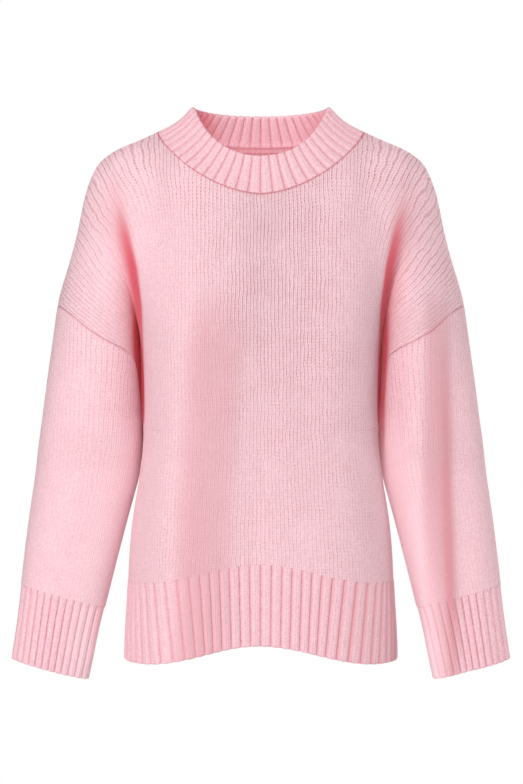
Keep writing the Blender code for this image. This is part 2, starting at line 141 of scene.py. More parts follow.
# Sections by height. Half widths: the outer edge of the shoulder and sleeve, the torso's side, the
# sleeve's inner edge. Half depths: the torso's front and back, the sleeve. Middles: where the side
# seam and the sleeve's inner edge lie, front to back. Powers: how squarely the front and back run
# from the centre to the shoulder edge.
COLUMNS = (
    "height", "outer", "torso", "inner", "front", "back", "sleeve",
    "torso_middle", "sleeve_middle", "front_power", "back_power",
)
SECTIONS = (
    (-4, 118, 163, 166, 22, 24, 30, 0, 0, 1.8, 1.75),
    (-14, 139, 163, 166, 40, 69, 31, 0, 0, 1.8, 1.75),
    (-23, 160.5, 163, 166, 51, 84, 32, 0, 0, 1.8, 1.75),
    (-32, 176, 163, 166, 60, 92, 33, 0, 0, 1.8, 1.75),
    (-41, 186, 163, 166, 67.5, 97, 34, 0, 0, 1.8, 1.75),
    (-51, 192, 163, 166, 74.5, 101, 35, 0, 0, 1.8, 1.8),
    (-60, 196, 163, 166, 80, 104, 36, 0, 0, 1.8, 1.8),
    (-78, 202, 163, 166, 88, 108, 38, 0, 0, 1.85, 1.8),
    (-104, 207.5, 161, 164, 98, 111, 48, 0, 0, 1.9, 1.85),
    (-152, 219, 150, 153.5, 115, 115, 60, 0, 0, 2, 2),
    (-198, 232, 141, 145.5, 124, 118, 63, 0, 0, 2.1, 2.1),
    (-233, 237.5, 136.5, 140.8, 128, 119, 62, 0, 0, 2.15, 2.15),
    (-290, 245.5, 133.4, 137.6, 130, 120, 62, 0, 0, 2.2, 2.2),
    (-345, 252.8, 133.6, 136.2, 130, 120, 61, 0, 0, 2.2, 2.2),
    (-370, 256.4, 134.8, 136.4, 129.5, 119.5, 59, -5, 4, 2.2, 2.2),
    (-391, 258.8, 137.6, 138.8, 129, 119, 57, -8, 6.5, 2.2, 2.2),
    (-405, 260.6, 139.6, 141.4, 129, 119, 56, -9, 6, 2.2, 2.2),
    (-428, 263.8, 143.4, 147.4, 128, 119, 54, -9, 2.5, 2.2, 2.2),
    (-465, 268.2, 148.4, 157, 127, 118, 50, -7.5, -6, 2.2, 2.2),
    (-501, 272, 151, 166, 126, 117, 46, -5.5, -14, 2.2, 2.2),
    (-538, 275.6, 153, 175, 124.5, 116, 42, -3.5, -21, 2.2, 2.2),
    (-575, 280, 155.4, 183.8, 123, 115, 38, -1.5, -27, 2.2, 2.2),
    (-605, 284.4, 156.4, 189.6, 121, 114, 35, 0, -30.5, 2.2, 2.2),
    (-635, 288, 156.6, 196, 120, 113, 33, 0, -32, 2.2, 2.2),
)

# Height of the armhole seam by the angle round the sleeve, from its outer edge to the underarm
ARMHOLE = (
    (0, -205), (30, -207.5), (60, -218), (90, -236), (120, -250),
    (140, -258), (152, -265), (160, -278), (167, -303), (173.5, -330),
    (180, UNDERARM),
)

# Slant of the stitch columns over the shoulder, by how far below the neck: degrees from straight
# down, and the half widths between which the slant sets in
SLANT_HEIGHTS = (0, 43, 77, 139, 201, 240, 345)
SLANT_ANGLES = (30, 32, 33, 38, 52, 56, 56)
SLANT_STARTS = (100, 95, 85, 105, 128, 131, 131)
SLANT_ENDS = (190, 186, 172, 172, 160, 145, 142)
CREASE_CUT = -235.0  # below it the stitch columns of chest and shoulder do not meet
STIFF_COLUMNS = 5.0  # how much more it matters where stitch columns head than how wide they are
STIFF_ROWS = 1.5
CLOSER = 0.22  # how much closer the stitch columns lie low on the shoulder
SETTLE_ROUNDS = 500

# Grids: segments along each stretch
CHEST_COLUMNS = 84
SHOULDER_COLUMNS = 56
YOKE_ROWS = 92
BODY_ROWS = 54
SLEEVE_ROWS = 108
SLEEVE_COLUMNS = 60
BAND_ROWS = 26
COLLAR_ROWS = 20
FINE = 900  # points on a row before it is divided
ROW_CROWDING = 1.2
NECK_SPLIT = np.radians(52.0)

# Width over which each edge is rounded
NECK_EDGE = 1.5
SHOULDER_EDGE = 1.0
ARMHOLE_EDGE = 0.6
SIDE_EDGE = 0.8
JOIN_EDGE = 0.06  # where ribbing is knitted on to a panel
CAST_OFF = 2.0  # where ribbing ends

# Ribs. The hem's grooves near its centre lie at these half widths at mid height, and each moves this
# much towards the centre from top to bottom. The rest are spaced along the cloth to the side seam.
HEM_GROOVES = (0.0, 11.8, 23.3, 34.3, 45.1, 55.3, 65.1, 75.4, 87.1, 99.6, 112.8, 124.7, 134.2)
HEM_LEANS = (0.0, 1.2, 2.0, 2.7, 3.2, 4.1, 5.7, 7.4, 8.6, 9.2, 8.6, 7.3, 4.8)
HEM_RIBS = 18  # on half a panel
GROOVE_SHADE = 0.6  # painted shade in the hem's grooves, growing towards the wearer's left, away from the lamps
GROOVE_REACH = 110.0  # and the half width where it is full
CUFF_RIBS = 12  # on half a cuff
CUFF_EVEN = 0.75  # how evenly its ribs are spaced as seen from the front, rather than along the cloth
COLLAR_RIBS = 48
ROLL = 1.3  # how much thicker the collar's rolled rim is on each face, at the sides of the neck
ROLL_REACH = 16.0
# Inside the collar a cord covers the seam, and a flat tape runs below it to the neckline
CORD_PLACE = 13.6  # above the neckline
CORD_HEIGHT = 2.4
CORD_WIDTH = 2.2
TAPE_HEIGHT = 0.6
TAPE_TOP = (3.4, 1.4)  # how far below the cord it ends, and over how much
INNER_RIBS = (1.0, 4.0)  # the inner ribs start this far below the cord, and grow over this much
UNDER_CORD = ((2.8, 0.6), (5.6, 0.5))  # painted shade below the cord: how far below, and how dark
UNDER_CORD_WIDTH = 0.9
INNER_FROM = (32.0, 38.0)  # painted shade inside the collar: from this half width, over this much
INNER_SHADE = (0.64, 0.42)  # and how dark, at the wearer's right and left
TAPE_SHADE = (0.45, 7.0)  # painted shade along the neckline: how dark, and how far up
RIB_HEIGHT = 1.9  # from the bottom of a groove
RIB_ROUND = 2.3  # power of a rib's round top: more is flatter, with a narrower groove
RIB_START = (0.4, 3.6)  # ribs begin this far above a band's top, and grow over this much
RIB_TOP = 0.25  # share of a rib's height above the plain cloth
RIB_STEPS = np.array([0.0, 0.035, 0.08, 0.15, 0.25, 0.37, 0.5, 0.63, 0.75, 0.85, 0.92, 0.965])
RIM = 3.0  # ribs flatten out over this much of a cast-off edge
RIM_RIBS = 0.35  # to this share of their height

FRONT = -1.0
BACK = 1.0
ACROSS = 0.5 - 0.5 * np.cos(np.linspace(0.0, np.pi, FINE))
ROUND_STEPS = np.array([0.0, 0.06, 0.22, 0.5, 1.0])  # where the rows of a rounded edge lie
SLOPE_STEP = 0.4  # over which the slope of the outer face is taken


def spline(at, values):
    """Natural cubic spline through the values, as a function. The places rise."""
    at = np.asarray(at, float)
    values = np.asarray(values, float)
    gaps = np.diff(at)
    slopes = np.diff(values) / gaps
    system = np.eye(len(at))
    bends = np.zeros(len(at))
    for i in range(1, len(at) - 1):
        system[i, i - 1 : i + 2] = gaps[i - 1], 2.0 * (gaps[i - 1] + gaps[i]), gaps[i]
        bends[i] = 6.0 * (slopes[i] - slopes[i - 1])
    bends = np.linalg.solve(system, bends)

    def value(place):
        place = np.clip(place, at[0], at[-1])
        i = np.clip(np.searchsorted(at, place) - 1, 0, len(gaps) - 1)
        before = place - at[i]
        after = at[i + 1] - place
        curve = (bends[i] * after**3 + bends[i + 1] * before**3) / (6.0 * gaps[i])
        line = (values[i] / gaps[i] - bends[i] * gaps[i] / 6.0) * after
        line = line + (values[i + 1] / gaps[i] - bends[i + 1] * gaps[i] / 6.0) * before
        return curve + line

    return value


def profile(name):
    """A column of SECTIONS as a smooth function of height."""
    column = COLUMNS.index(name)
    rows = SECTIONS[::-1]
    return spline([row[0] for row in rows], [row[column] for row in rows])


def mirrored_armhole():
    """The armhole seam's height by angle, level where it crosses the top and the underarm."""
    before = [(-angle, height) for angle, height in ARMHOLE[1:3][::-1]]
    after = [(360.0 - angle, height) for angle, height in ARMHOLE[-4:-1][::-1]]
    table = before + list(ARMHOLE) + after
    return spline([np.radians(row[0]) for row in table], [row[1] for row in table])


OUTER, TORSO, INNER = profile("outer"), profile("torso"), profile("inner")
FRONT_DEPTH, BACK_DEPTH, SLEEVE_DEPTH = profile("front"), profile("back"), profile("sleeve")
TORSO_MIDDLE, SLEEVE_MIDDLE = profile("torso_middle"), profile("sleeve_middle")
FRONT_POWER, BACK_POWER = profile("front_power"), profile("back_power")
ARMHOLE_HEIGHT = mirrored_armhole()
UNDERARM_HALF = 0.5 * float(TORSO(UNDERARM) + INNER(UNDERARM))
UNDERARM_SLACK = 0.5 * float(INNER(UNDERARM) - TORSO(UNDERARM))


def unit(vectors):
    """The vectors at length 1."""
    return vectors / np.maximum(np.linalg.norm(vectors, axis=-1, keepdims=True), 1e-9)


def ease(share):
    """0 below 0, 1 above 1, and a smooth rise between: 3 share^2 - 2 share^3."""
    share = np.clip(share, 0.0, 1.0)
    return share * share * (3.0 - 2.0 * share)


def bell(away, width):
    """1 in the middle and fading to 0 on both sides: e to the power -(away / width)^2."""
    return np.exp(-((away / width) ** 2))


def crease_middle(z):
    """Half width midway between the torso's side and the sleeve's inner edge."""
    return 0.5 * (TORSO(z) + INNER(z))


def superellipse(across, power):
    """Height of across^power + height^power = 1: 1 in the middle, 0 at the edge and past it."""
    return np.maximum(1.0 - np.minimum(np.abs(across), 1.0) ** power, 0.0) ** (1.0 / power)


def slack(z):
    """How far torso and sleeve close up at the underarm, where they are sewn together, and below it,
    where the sleeve lies against the torso: half the gap between them, which opens further down. It
    fades out above in a bell."""
    gap = 0.5 * (INNER(z) - TORSO(z))
    closed = gap - TOUCH_GAP * ease((UNDERARM - z) / TOUCH_START)
    closed = closed * (1.0 - ease((UNDERARM - TOUCH_DOWN - z) / TOUCH_END))
    return np.where(z > UNDERARM, UNDERARM_SLACK * bell(z - UNDERARM, UNDERARM_FADE), closed)


def torso_edge(z):
    """Half width of the torso with its slack."""
    return TORSO(z) + slack(z)


def sleeve_edge(z):
    """Half width of the sleeve's inner edge with its slack."""
    return INNER(z) - slack(z)


def climb(z):
    """Share of the way up the crease: 0 at the underarm and below, 1 where it has faded out."""
    return np.clip((z - UNDERARM) / (CREASE_TOP - UNDERARM), 0.0, 1.0)


def torso_depth(x, z, side):
    """Half depth of the torso: a superellipse across it. Its edge takes up the slack near the side,
    and runs on under the sleeve up the crease."""
    depth = FRONT_DEPTH(z) if side == FRONT else BACK_DEPTH(z)
    depth = depth - side * body_middle(z)
    near_side = ease((np.abs(x) / TORSO(z) - 0.75) / 0.2)
    edge_here = TORSO(z) + slack(z) * near_side + CREASE_OVERLAP * climb(z) ** 3
    return depth * superellipse(x / edge_here, TORSO_POWER)


def sleeve_depth(x, z):
    """Half depth of the sleeve: a superellipse between its edges. The inner one runs on under the
    torso up the crease."""
    outer = OUTER(z)
    inner = sleeve_edge(z) - CREASE_OVERLAP * climb(z) ** 3
    return SLEEVE_DEPTH(z) * superellipse((2.0 * x - outer - inner) / (outer - inner), SLEEVE_POWER)


def shoulder_depth(x, z, side):
    """Half depth with no crease: one sweep from the centre to the outer edge."""
    if side == FRONT:
        return FRONT_DEPTH(z) * superellipse(x / OUTER(z), FRONT_POWER(z))
    return BACK_DEPTH(z) * superellipse(x / OUTER(z), BACK_POWER(z))


def yoke_depth(x, z, side):
    """Half depth above the underarm: the tubes mixed with the sweep that has no crease. The tubes
    are joined as the root of the sum of their powers."""
    share = climb(z)
    steep = np.sqrt(share) * (0.1 + 0.5 * share + 0.4 * share**3)
    gentle = share**1.5
    near = bell(x - crease_middle(z), CREASE_REACH)
    sweep = steep * near + gentle * (1.0 - near)
    tubes = torso_depth(x, z, side) ** CREASE_ROUND + sleeve_depth(x, z) ** CREASE_ROUND
    tubes = tubes ** (1.0 / CREASE_ROUND)
    return (1.0 - sweep) * tubes + sweep * shoulder_depth(x, z, side)


def body_depth(x, z, side):
    """Half depth of front and back: the yoke's above the underarm, the torso's below."""
    x = np.abs(x)
    return np.where(z > UNDERARM, yoke_depth(x, z, side), torso_depth(x, z, side))


def arm_depth(x, z, side):
    """Half depth of a sleeve: the yoke's above the underarm, its own below."""
    x = np.abs(x)
    return np.where(z > UNDERARM, yoke_depth(x, z, side), sleeve_depth(x, z))


def body_middle(z):
    """Where the side seam lies front to back: in the middle above the underarm."""
    return np.where(z > UNDERARM, 0.0, TORSO_MIDDLE(z))


def arm_middle(z):
    """Where the sleeve's edges lie front to back: in the middle above the underarm."""
    return np.where(z > UNDERARM, 0.0, SLEEVE_MIDDLE(z))


# The outer face of each tube: its half depth by (x, z, side), and its middle front to back by z
Tube = namedtuple("Tube", "depth middle")
BODY = Tube(body_depth, body_middle)
ARM = Tube(arm_depth, arm_middle)


def outward(points, tube, side):
    """Unit normals of the outer face, from the slope of (y - middle)^2 - depth^2."""

    def field(place):
        x, y, z = np.moveaxis(place, -1, 0)
        return (y - tube.middle(z)) ** 2 - tube.depth(x, z, side) ** 2

    steps = SLOPE_STEP * np.eye(3)
    normals = np.stack([field(points + step) - field(points - step) for step in steps], -1)
    corner = np.hypot(np.abs(points[..., 0]) - UNDERARM_HALF, points[..., 2] - UNDERARM) < 1.0
    normals[corner & (np.abs(points[..., 1]) < 1.0)] = (0.0, 0.0, -1.0)
    return unit(normals)


def lengths_along(grid, axis=0):
    """Length from the first row or column of a grid to each point, along the grid's own lines."""
    steps = np.linalg.norm(np.diff(grid, axis=axis), axis=-1)
    start = np.zeros_like(np.take(steps, [0], axis=axis))
    return np.cumsum(np.concatenate([start, steps], axis=axis), axis=axis)


def divide(row, shares):
    """The points of a row at these shares of its length."""
    along = lengths_along(row)
    return np.stack([np.interp(shares * along[-1], along, row[:, axis]) for axis in range(3)], -1)


def even(segments, start=0.0, end=0.0):
    """Shares from 0 to 1 in even steps, with a few close together in the first and last stretch."""
    shares = np.linspace(0.0, 1.0, segments + 1)
    if start > 0.0:
        shares = np.concatenate([start * ROUND_STEPS, shares[shares > 1.5 * start]])
    if end > 0.0:
        shares = np.concatenate([shares[shares < 1.0 - 1.5 * end], 1.0 - end * ROUND_STEPS[::-1]])
    return shares


def crease_line(z, side):
    """Half width of the line that parts chest from shoulder: the crease, then in to the neckline."""
    half = NECK_HALF * np.sin(NECK_SPLIT)
    top = neckline_height(NECK_SPLIT, side)
    turn = ease((z - CREASE_BEND) / (top - CREASE_BEND))
    return crease_middle(z) * (1.0 - turn) + half * turn


def neckline_height(angle, side):
    """Height of the neckline, by the angle round the neck from the centre front or back."""
    if side == FRONT:
        centre, shoulder = NECK_ROUND
        rise = 1.0 - (1.0 - np.sin(angle) ** centre) ** shoulder
        return NECK_FRONT + (NECK_SIDE - NECK_FRONT) * rise
    return NECK_BACK + (NECK_SIDE - NECK_BACK) * (1.0 - np.cos(angle))


def hem_drop(across):
    """How far the hem hangs below its centre, by the share of the half width."""
    return HEM_ARCH * 0.5 * (1.0 - np.cos(np.pi * np.minimum(across / HEM_FLAT, 1.0)))


def half_sleeve(angle, height):
    """Half width x of the point at this angle round the sleeve and this height."""
    outer = OUTER(height)
    inner = sleeve_edge(height)
    return 0.5 * (outer + inner) + 0.5 * (outer - inner) * np.cos(angle)


def coons(top, bottom, left, right, shares):
    """Rows between four edges, each as (shares across, heights). Left and right go by share down."""
    rows = []
    for down in shares:
        row = (1.0 - down) * top + down * bottom
        row = row + np.outer(1.0 - ACROSS, left(down) - row[0]) + np.outer(ACROSS, right(down) - row[-1])
        rows.append(row.T)
    return rows


def ridge_height():
    """Height on the shoulder edge, by the share of its length from the neck to the armhole."""
    heights = np.linspace(NECK_SIDE, ARMHOLE_HEIGHT(0.0), FINE)
    along = lengths_along(np.stack([heights, OUTER(heights)], -1))
    return lambda share: np.interp(share, along / along[-1], heights)


def lift(x, z, tube, side):
    """Points of the outer face over (x, z): the tube's half depth away from its middle."""
    return np.stack([x, tube.middle(z) + side * tube.depth(x, z, side), z], -1)


def edge(across, heights):
    """An edge of a patch as rows of (share across, height)."""
    return np.stack(np.broadcast_arrays(across, heights), -1)


def upright(share, top):
    """A side edge of a patch: at one share across, from this height evenly down to the underarm."""
    return lambda down: np.array([share, top + (UNDERARM - top) * down])


def yoke_shares():
    """Shares down the yoke, closer together towards its bottom: 1 - (1 - share)^crowding."""
    down = even(YOKE_ROWS, 0.0055, 0.0055)
    return 1.0 - (1.0 - down) ** ROW_CROWDING


def chest_grid(side):
    """Half a front or back from the centre line to the crease, above the underarm."""
    angles = NECK_SPLIT * ACROSS
    heights = neckline_height(angles, side)
    top = edge(NECK_HALF * np.sin(angles) / crease_line(heights, side), heights)
    sides = upright(0.0, heights[0]), upright(1.0, heights[-1])
    rows = coons(top, edge(ACROSS, UNDERARM), *sides, yoke_shares())
    shares = even(CHEST_COLUMNS, end=0.005)
    return np.array([divide(lift(q * crease_line(z, side), z, BODY, side), shares) for q, z in rows])


def shoulder_grid(side):
    """The rest of the half, from the crease to the shoulder edge and down to the armhole."""
    angles = NECK_SPLIT + (0.5 * np.pi - NECK_SPLIT) * ACROSS
    heights = neckline_height(angles, side)
    line = crease_line(heights, side)
    top = edge((NECK_HALF * np.sin(angles) - line) / (OUTER(heights) - line), heights)
    round_arm = np.pi * (1.0 - ACROSS)
    seam = ARMHOLE_HEIGHT(round_arm)
    line = crease_line(seam, side)
    bottom = edge((half_sleeve(round_arm, seam) - line) / (OUTER(seam) - line), seam)
    bottom[0, 0] = 0.0
    ridge = ridge_height()
    sides = upright(0.0, heights[0]), lambda down: np.array([1.0, ridge(down)])
    shares = even(SHOULDER_COLUMNS, end=0.009)
    grid = []
    for q, z in coons(top, bottom, *sides, yoke_shares()):
        line = crease_line(z, side)
        grid.append(divide(lift(line + q * (OUTER(z) - line), z, BODY, side), shares))
    return np.array(grid)


def torso_grid(top, bottom, down, shares, side):
    """Rows round half the torso below the underarm, between two edges by share of the half width."""
    rows = []
    for share in down:
        z = top(ACROSS) + (bottom(ACROSS) - top(ACROSS)) * share
        rows.append(divide(lift(ACROSS * torso_edge(z), z, BODY, side), shares))
    return np.array(rows)


def underarm_level(across):
    """The level edge at the underarm."""
    return np.full_like(across, UNDERARM)


def hem_level(height):
    """An arched edge of the hem, with this height at its centre."""
    return lambda across: height - hem_drop(across)


def arm_grid(top, bottom, down, shares, side):
    """Rows round half a sleeve, from the outer edge to the inner one, between two slanting edges."""
    angles = np.pi * ACROSS
    rows = []
    for share in down:
        z = top(angles) + (bottom(angles) - top(angles)) * share
        rows.append(divide(lift(half_sleeve(angles, z), z, ARM, side), shares))
    return np.array(rows)


def cuff_level(place):
    """A slanting edge of the cuff: its height plus its slant by the cosine of the angle."""
    height, slant = place
    return lambda angles: height + slant * np.cos(angles)


# ---- the stitches' own coordinates ----


def triangle_slopes(corners, points, ways):
    """For each triangle and the unit ways at its corners: what to multiply its three corner values by
    to get their slope that way, times the root of its area, and that root."""
    first = points[corners[:, 1]] - points[corners[:, 0]]
    second = points[corners[:, 2]] - points[corners[:, 0]]
    way = ways[corners].mean(axis=1)
    aa, ab, bb = (first * first).sum(1), (first * second).sum(1), (second * second).sum(1)
    square = np.maximum(aa * bb - ab * ab, 1e-6)  # four times the area, squared
    toward_first, toward_second = (first * way).sum(1), (second * way).sum(1)
    root = (0.25 * square) ** 0.25
    u = (bb * toward_first - ab * toward_second) / square * root
    v = (aa * toward_second - ab * toward_first) / square * root
    return np.stack([-u - v, u, v], -1), root


def settle(corners, slopes, wanted, start, fixed):
    """One number a point, whose slopes over the triangles are as near as can be to those wanted
    (least squares, by conjugate gradients). The fixed points keep their starting numbers."""
    count = len(start)
    loose = np.ones(count)
    loose[fixed] = 0.0
    found = start.copy()

    def gather(values):
        return loose * np.bincount(corners.ravel(), (slopes * values[:, None]).ravel(), count)

    scale = 1.0 / np.maximum(np.bincount(corners.ravel(), (slopes**2).ravel(), count), 1e-9)
    left = gather(wanted - (slopes * found[corners]).sum(1))
    eased = left * scale
    way = eased.copy()
    strength = left @ eased
    for _ in range(SETTLE_ROUNDS):
        across = (slopes * way[corners]).sum(1)
        length = strength / (across @ across)
        found += length * way
        left -= length * gather(across)
        eased = left * scale
        fresh = left @ eased
        if fresh < 1e-6:
            break
        way = eased + way * fresh / strength
        strength = fresh
    return found


def knit_ways(points, normals):
    """Unit ways down the stitch columns of a front or back, and how closely they are packed. The
    columns hang straight down the chest and torso, and slant in and down over the shoulder, flatter
    towards the armhole, where they lie closer together."""
    x, z = points[:, 0], points[:, 2]
    start = np.interp(-z, SLANT_HEIGHTS, SLANT_STARTS)
    end = np.interp(-z, SLANT_HEIGHTS, SLANT_ENDS)
    over = ease((x - start) / (end - start)) * (z > UNDERARM)
    lean = np.radians(np.interp(-z, SLANT_HEIGHTS, SLANT_ANGLES)) * over
    nx, ny, nz = normals.T
    back = (np.sin(lean) * nx + np.cos(lean) * nz) * ny / (ny**2 + 0.04)
    down = np.stack([-np.sin(lean), back, -np.cos(lean)], -1)
    close = 1.0 + CLOSER * over * ease((-z - 60.0) / 90.0)
    return unit(down - (down * normals).sum(1)[:, None] * normals), close


def sleeve_ways(points, normals):
    """The same for a sleeve, whose columns follow its middle line."""
    z = points[:, 2]
    middle = [0.5 * (OUTER(z + s) + INNER(z + s)) for s in (-2.0, 2.0)]
    hang = [arm_middle(z + s) for s in (-2.0, 2.0)]
    down = np.stack([(middle[0] - middle[1]) / 4.0, (hang[0] - hang[1]) / 4.0, -np.ones_like(z)], -1)
    return unit(down - (down * normals).sum(1)[:, None] * normals), np.ones_like(z)


def stitch_map(grids, normals, ways_of):
    """Stitch columns and rows at every point of grids that share points, as (columns, rows) arrays.
    The first column of the first grid is where the columns start to be counted. A second grid hangs
    on to the last column of the first above CREASE_CUT, and is cut from it below."""
    points = np.concatenate([grid.reshape(-1, 3) for grid in grids])
    lean = np.concatenate([normal.reshape(-1, 3) for normal in normals])
    index = []
    start = 0
    for grid in grids:
        rows, columns = grid.shape[:2]
        index.append(start + np.arange(rows * columns).reshape(rows, columns))
        start += rows * columns
    linked = [g.copy() for g in index]
    if len(grids) == 2:
        shared = index[0][: len(index[1]), -1]
        linked[1][:, 0] = np.where(points[shared, 2] > CREASE_CUT, shared, linked[1][:, 0])
    corners = [np.stack([g[:-1, :-1], g[:-1, 1:], g[1:, :-1]], -1).reshape(-1, 3) for g in linked]
    corners += [np.stack([g[1:, 1:], g[1:, :-1], g[:-1, 1:]], -1).reshape(-1, 3) for g in linked]
    corners = np.concatenate(corners)
    down, close = ways_of(points, lean)
    out = np.cross(down, lean)
    first = index[0][:, 0]
    out *= np.sign(((points[index[0][:, 1]] - points[first]) * out[first]).sum())
    slope_out, root = triangle_slopes(corners, points, out)
    slope_down, _ = triangle_slopes(corners, points, down)
    both = np.concatenate([corners, corners])
    centre = grids[0][:, :1]
    from_bottom = lengths_along(centre[::-1])[:, 0]
    guess = lengths_along(centre)[-1, 0] - np.interp(points[:, 2], centre[::-1, 0, 2], from_bottom)
    side_guess = np.concatenate([lengths_along(grid, axis=1).ravel() for grid in grids])
    if len(grids) == 2:
        side_guess[index[1]] += lengths_along(grids[0], axis=1)[: len(index[1]), -1:]
    spacing = root * close[corners].mean(axis=1)
    found = []
    for stiff, main, cross, wanted, begin in (
        (STIFF_COLUMNS, slope_out, slope_down, spacing, side_guess),
        (STIFF_ROWS, slope_down, slope_out, root, guess),
    ):
        slopes = np.concatenate([main, stiff * cross])
        wanted = np.concatenate([wanted, np.zeros_like(root)])
        found.append(settle(both, slopes, wanted, begin, first))
    if len(grids) == 2:
        for values in found:
            values[index[1][:, 0]] = values[linked[1][:, 0]]
    return [np.stack([found[0][g] / WALE, found[1][g] / COURSE], -1) for g in index]


# ---- folds ----

# How clearly the stitches show, in relief and in painted highlight and shade: a row for each
# distance below the neck, by half width
CLEAR_WIDTHS = (-220, -130, -60, 0, 60, 130, 220)
CLEAR_HEIGHTS = (20, 110, 200, 300, 420, 560)
CLEAR = (
    (0.90, 0.70, 0.60, 0.80, 0.60, 0.80, 1.00),
    (0.55, 0.15, 0.55, 1.00, 0.75, 0.35, 0.75),
    (0.45, 0.12, 0.50, 0.90, 0.75, 0.40, 0.50),
    (0.15, 0.25, 0.45, 0.60, 0.55, 0.45, 0.15),
    (0.10, 0.25, 0.35, 0.35, 0.40, 0.40, 0.10),
    (0.08, 0.25, 0.30, 0.25, 0.30, 0.30, 0.08),
)

# Soft troughs (negative) and ridges: piece side, start x z, end x z, how far the line bows,
# half width, height. Each is a bowed line on the front view of the piece, that fades at both ends.
FOLDS = (
    (FRONT, -76, -110, -90, -900, 23, 32, 9),
    (FRONT, 12, -110, -10, -900, 22, 40, -10),
    (FRONT, 58, -110, 40, -900, 20, 38, -5.5),
    (FRONT, 98, -30, 100, -900, -6, 36, 7),
    (FRONT, 158, -190, 150, -400, -4, 14, -1.4),
    (FRONT, 178, -110, 182, -820, 3, 20, 6),
    (FRONT, 226, -110, 234, -820, 3, 18, -7.2),
    (FRONT, -230, -250, -200, -430, 5, 18, -1.2),
    (BACK, -116, -160, -84, -880, 10, 30, -5.5),
    (BACK, -40, -140, -20, -820, 8, 32, 5),
    (BACK, 104, -150, 74, -900, -12, 30, -6),
    (BACK, -212, -200, -238, -700, -4, 19, -5),
    (BACK, 205, -200, 236, -720, 4, 18, -5.5),
)
FLANK_SHADE = 2.1  # how much painted shade lies on the flank of a fold that faces away from the lamps, by its slope
FLANK_SLOPES = (0.13, 0.37)  # from no shade to the deepest
FOLD_FACING = 22.0  # folds fade out over this much of the depth beside the side seams


def fold_lift(points, side):
    """How far the cloth stands out at each point. A fold's height is a bell across its line, and
    rises and falls over the first and last fifth of it."""
    x, z = points[..., 0], points[..., 2]
    middle = np.where(np.abs(x) > torso_edge(z) + 2.0, arm_middle(z), body_middle(z))
    facing = ease(side * (points[..., 1] - middle) / FOLD_FACING)
    total = np.zeros(x.shape)
    for fold_side, x0, z0, x1, z1, bow, width, height in FOLDS:
        if fold_side != side:
            continue
        run = np.array([x1 - x0, z1 - z0])
        length = np.hypot(*run)
        along = ((x - x0) * run[0] + (z - z0) * run[1]) / length**2
        off = ((x - x0) * run[1] - (z - z0) * run[0]) / length - bow * 4.0 * along * (1.0 - along)
        fade = ease(along * 5.0) * ease((1.0 - along) * 5.0)
        total += height * fade * bell(off, width)
    return total * facing


# ---- walls of cloth ----

# Part of a wall: grids of points and unit normals of its outer face, the share of the way from its
# edge to the end of the rounding (0 on the edge), the way to that edge, relief (how far the cloth
# stands out), stitch coordinates, and painted shade (how much deeper pink the yarn is painted where
# shade falls: in the crease, along seams, on fold flanks, in the hem's grooves and inside the collar).
# Relief and painted shade are given for both faces at once, or for the outer and the inner one.
Patch = namedtuple("Patch", "points normals share way relief stitches hollow")


def inner_sleeve_painted_light(points):
    """How much painted light the yarn has, from 0 to 1: down the inner side of the sleeves, where the
    torso shades them.
    """
    x, z = np.abs(points[..., 0]), points[..., 2]
    across = (x - INNER(z)) / (OUTER(z) - INNER(z))
    return np.where(across < -0.03, 0.0, 1.0 - ease(across / 0.5)) * ease((UNDERARM + 25.0 - z) / 50.0)


def clearness(points):
    """How clearly the stitches show, from 0 to 1, by half width and height. It scales both their
    relief and their painted highlight and shade."""
    rows = [np.interp(points[..., 0], CLEAR_WIDTHS, row) for row in CLEAR]
    place = np.interp(-points[..., 2], CLEAR_HEIGHTS, np.arange(len(CLEAR)))
    return sum(row * np.maximum(1.0 - np.abs(place - i), 0.0) for i, row in enumerate(rows))


def quads_of(index):
    """The corners of each cell of a grid of numbers."""
    return np.stack([index[:-1, :-1], index[:-1, 1:], index[1:, 1:], index[1:, :-1]], -1).reshape(-1, 4)


def show(name, data):
    """A new object in the scene."""
    made = bpy.data.objects.new(name, data)
    bpy.context.scene.collection.objects.link(made)
    return made


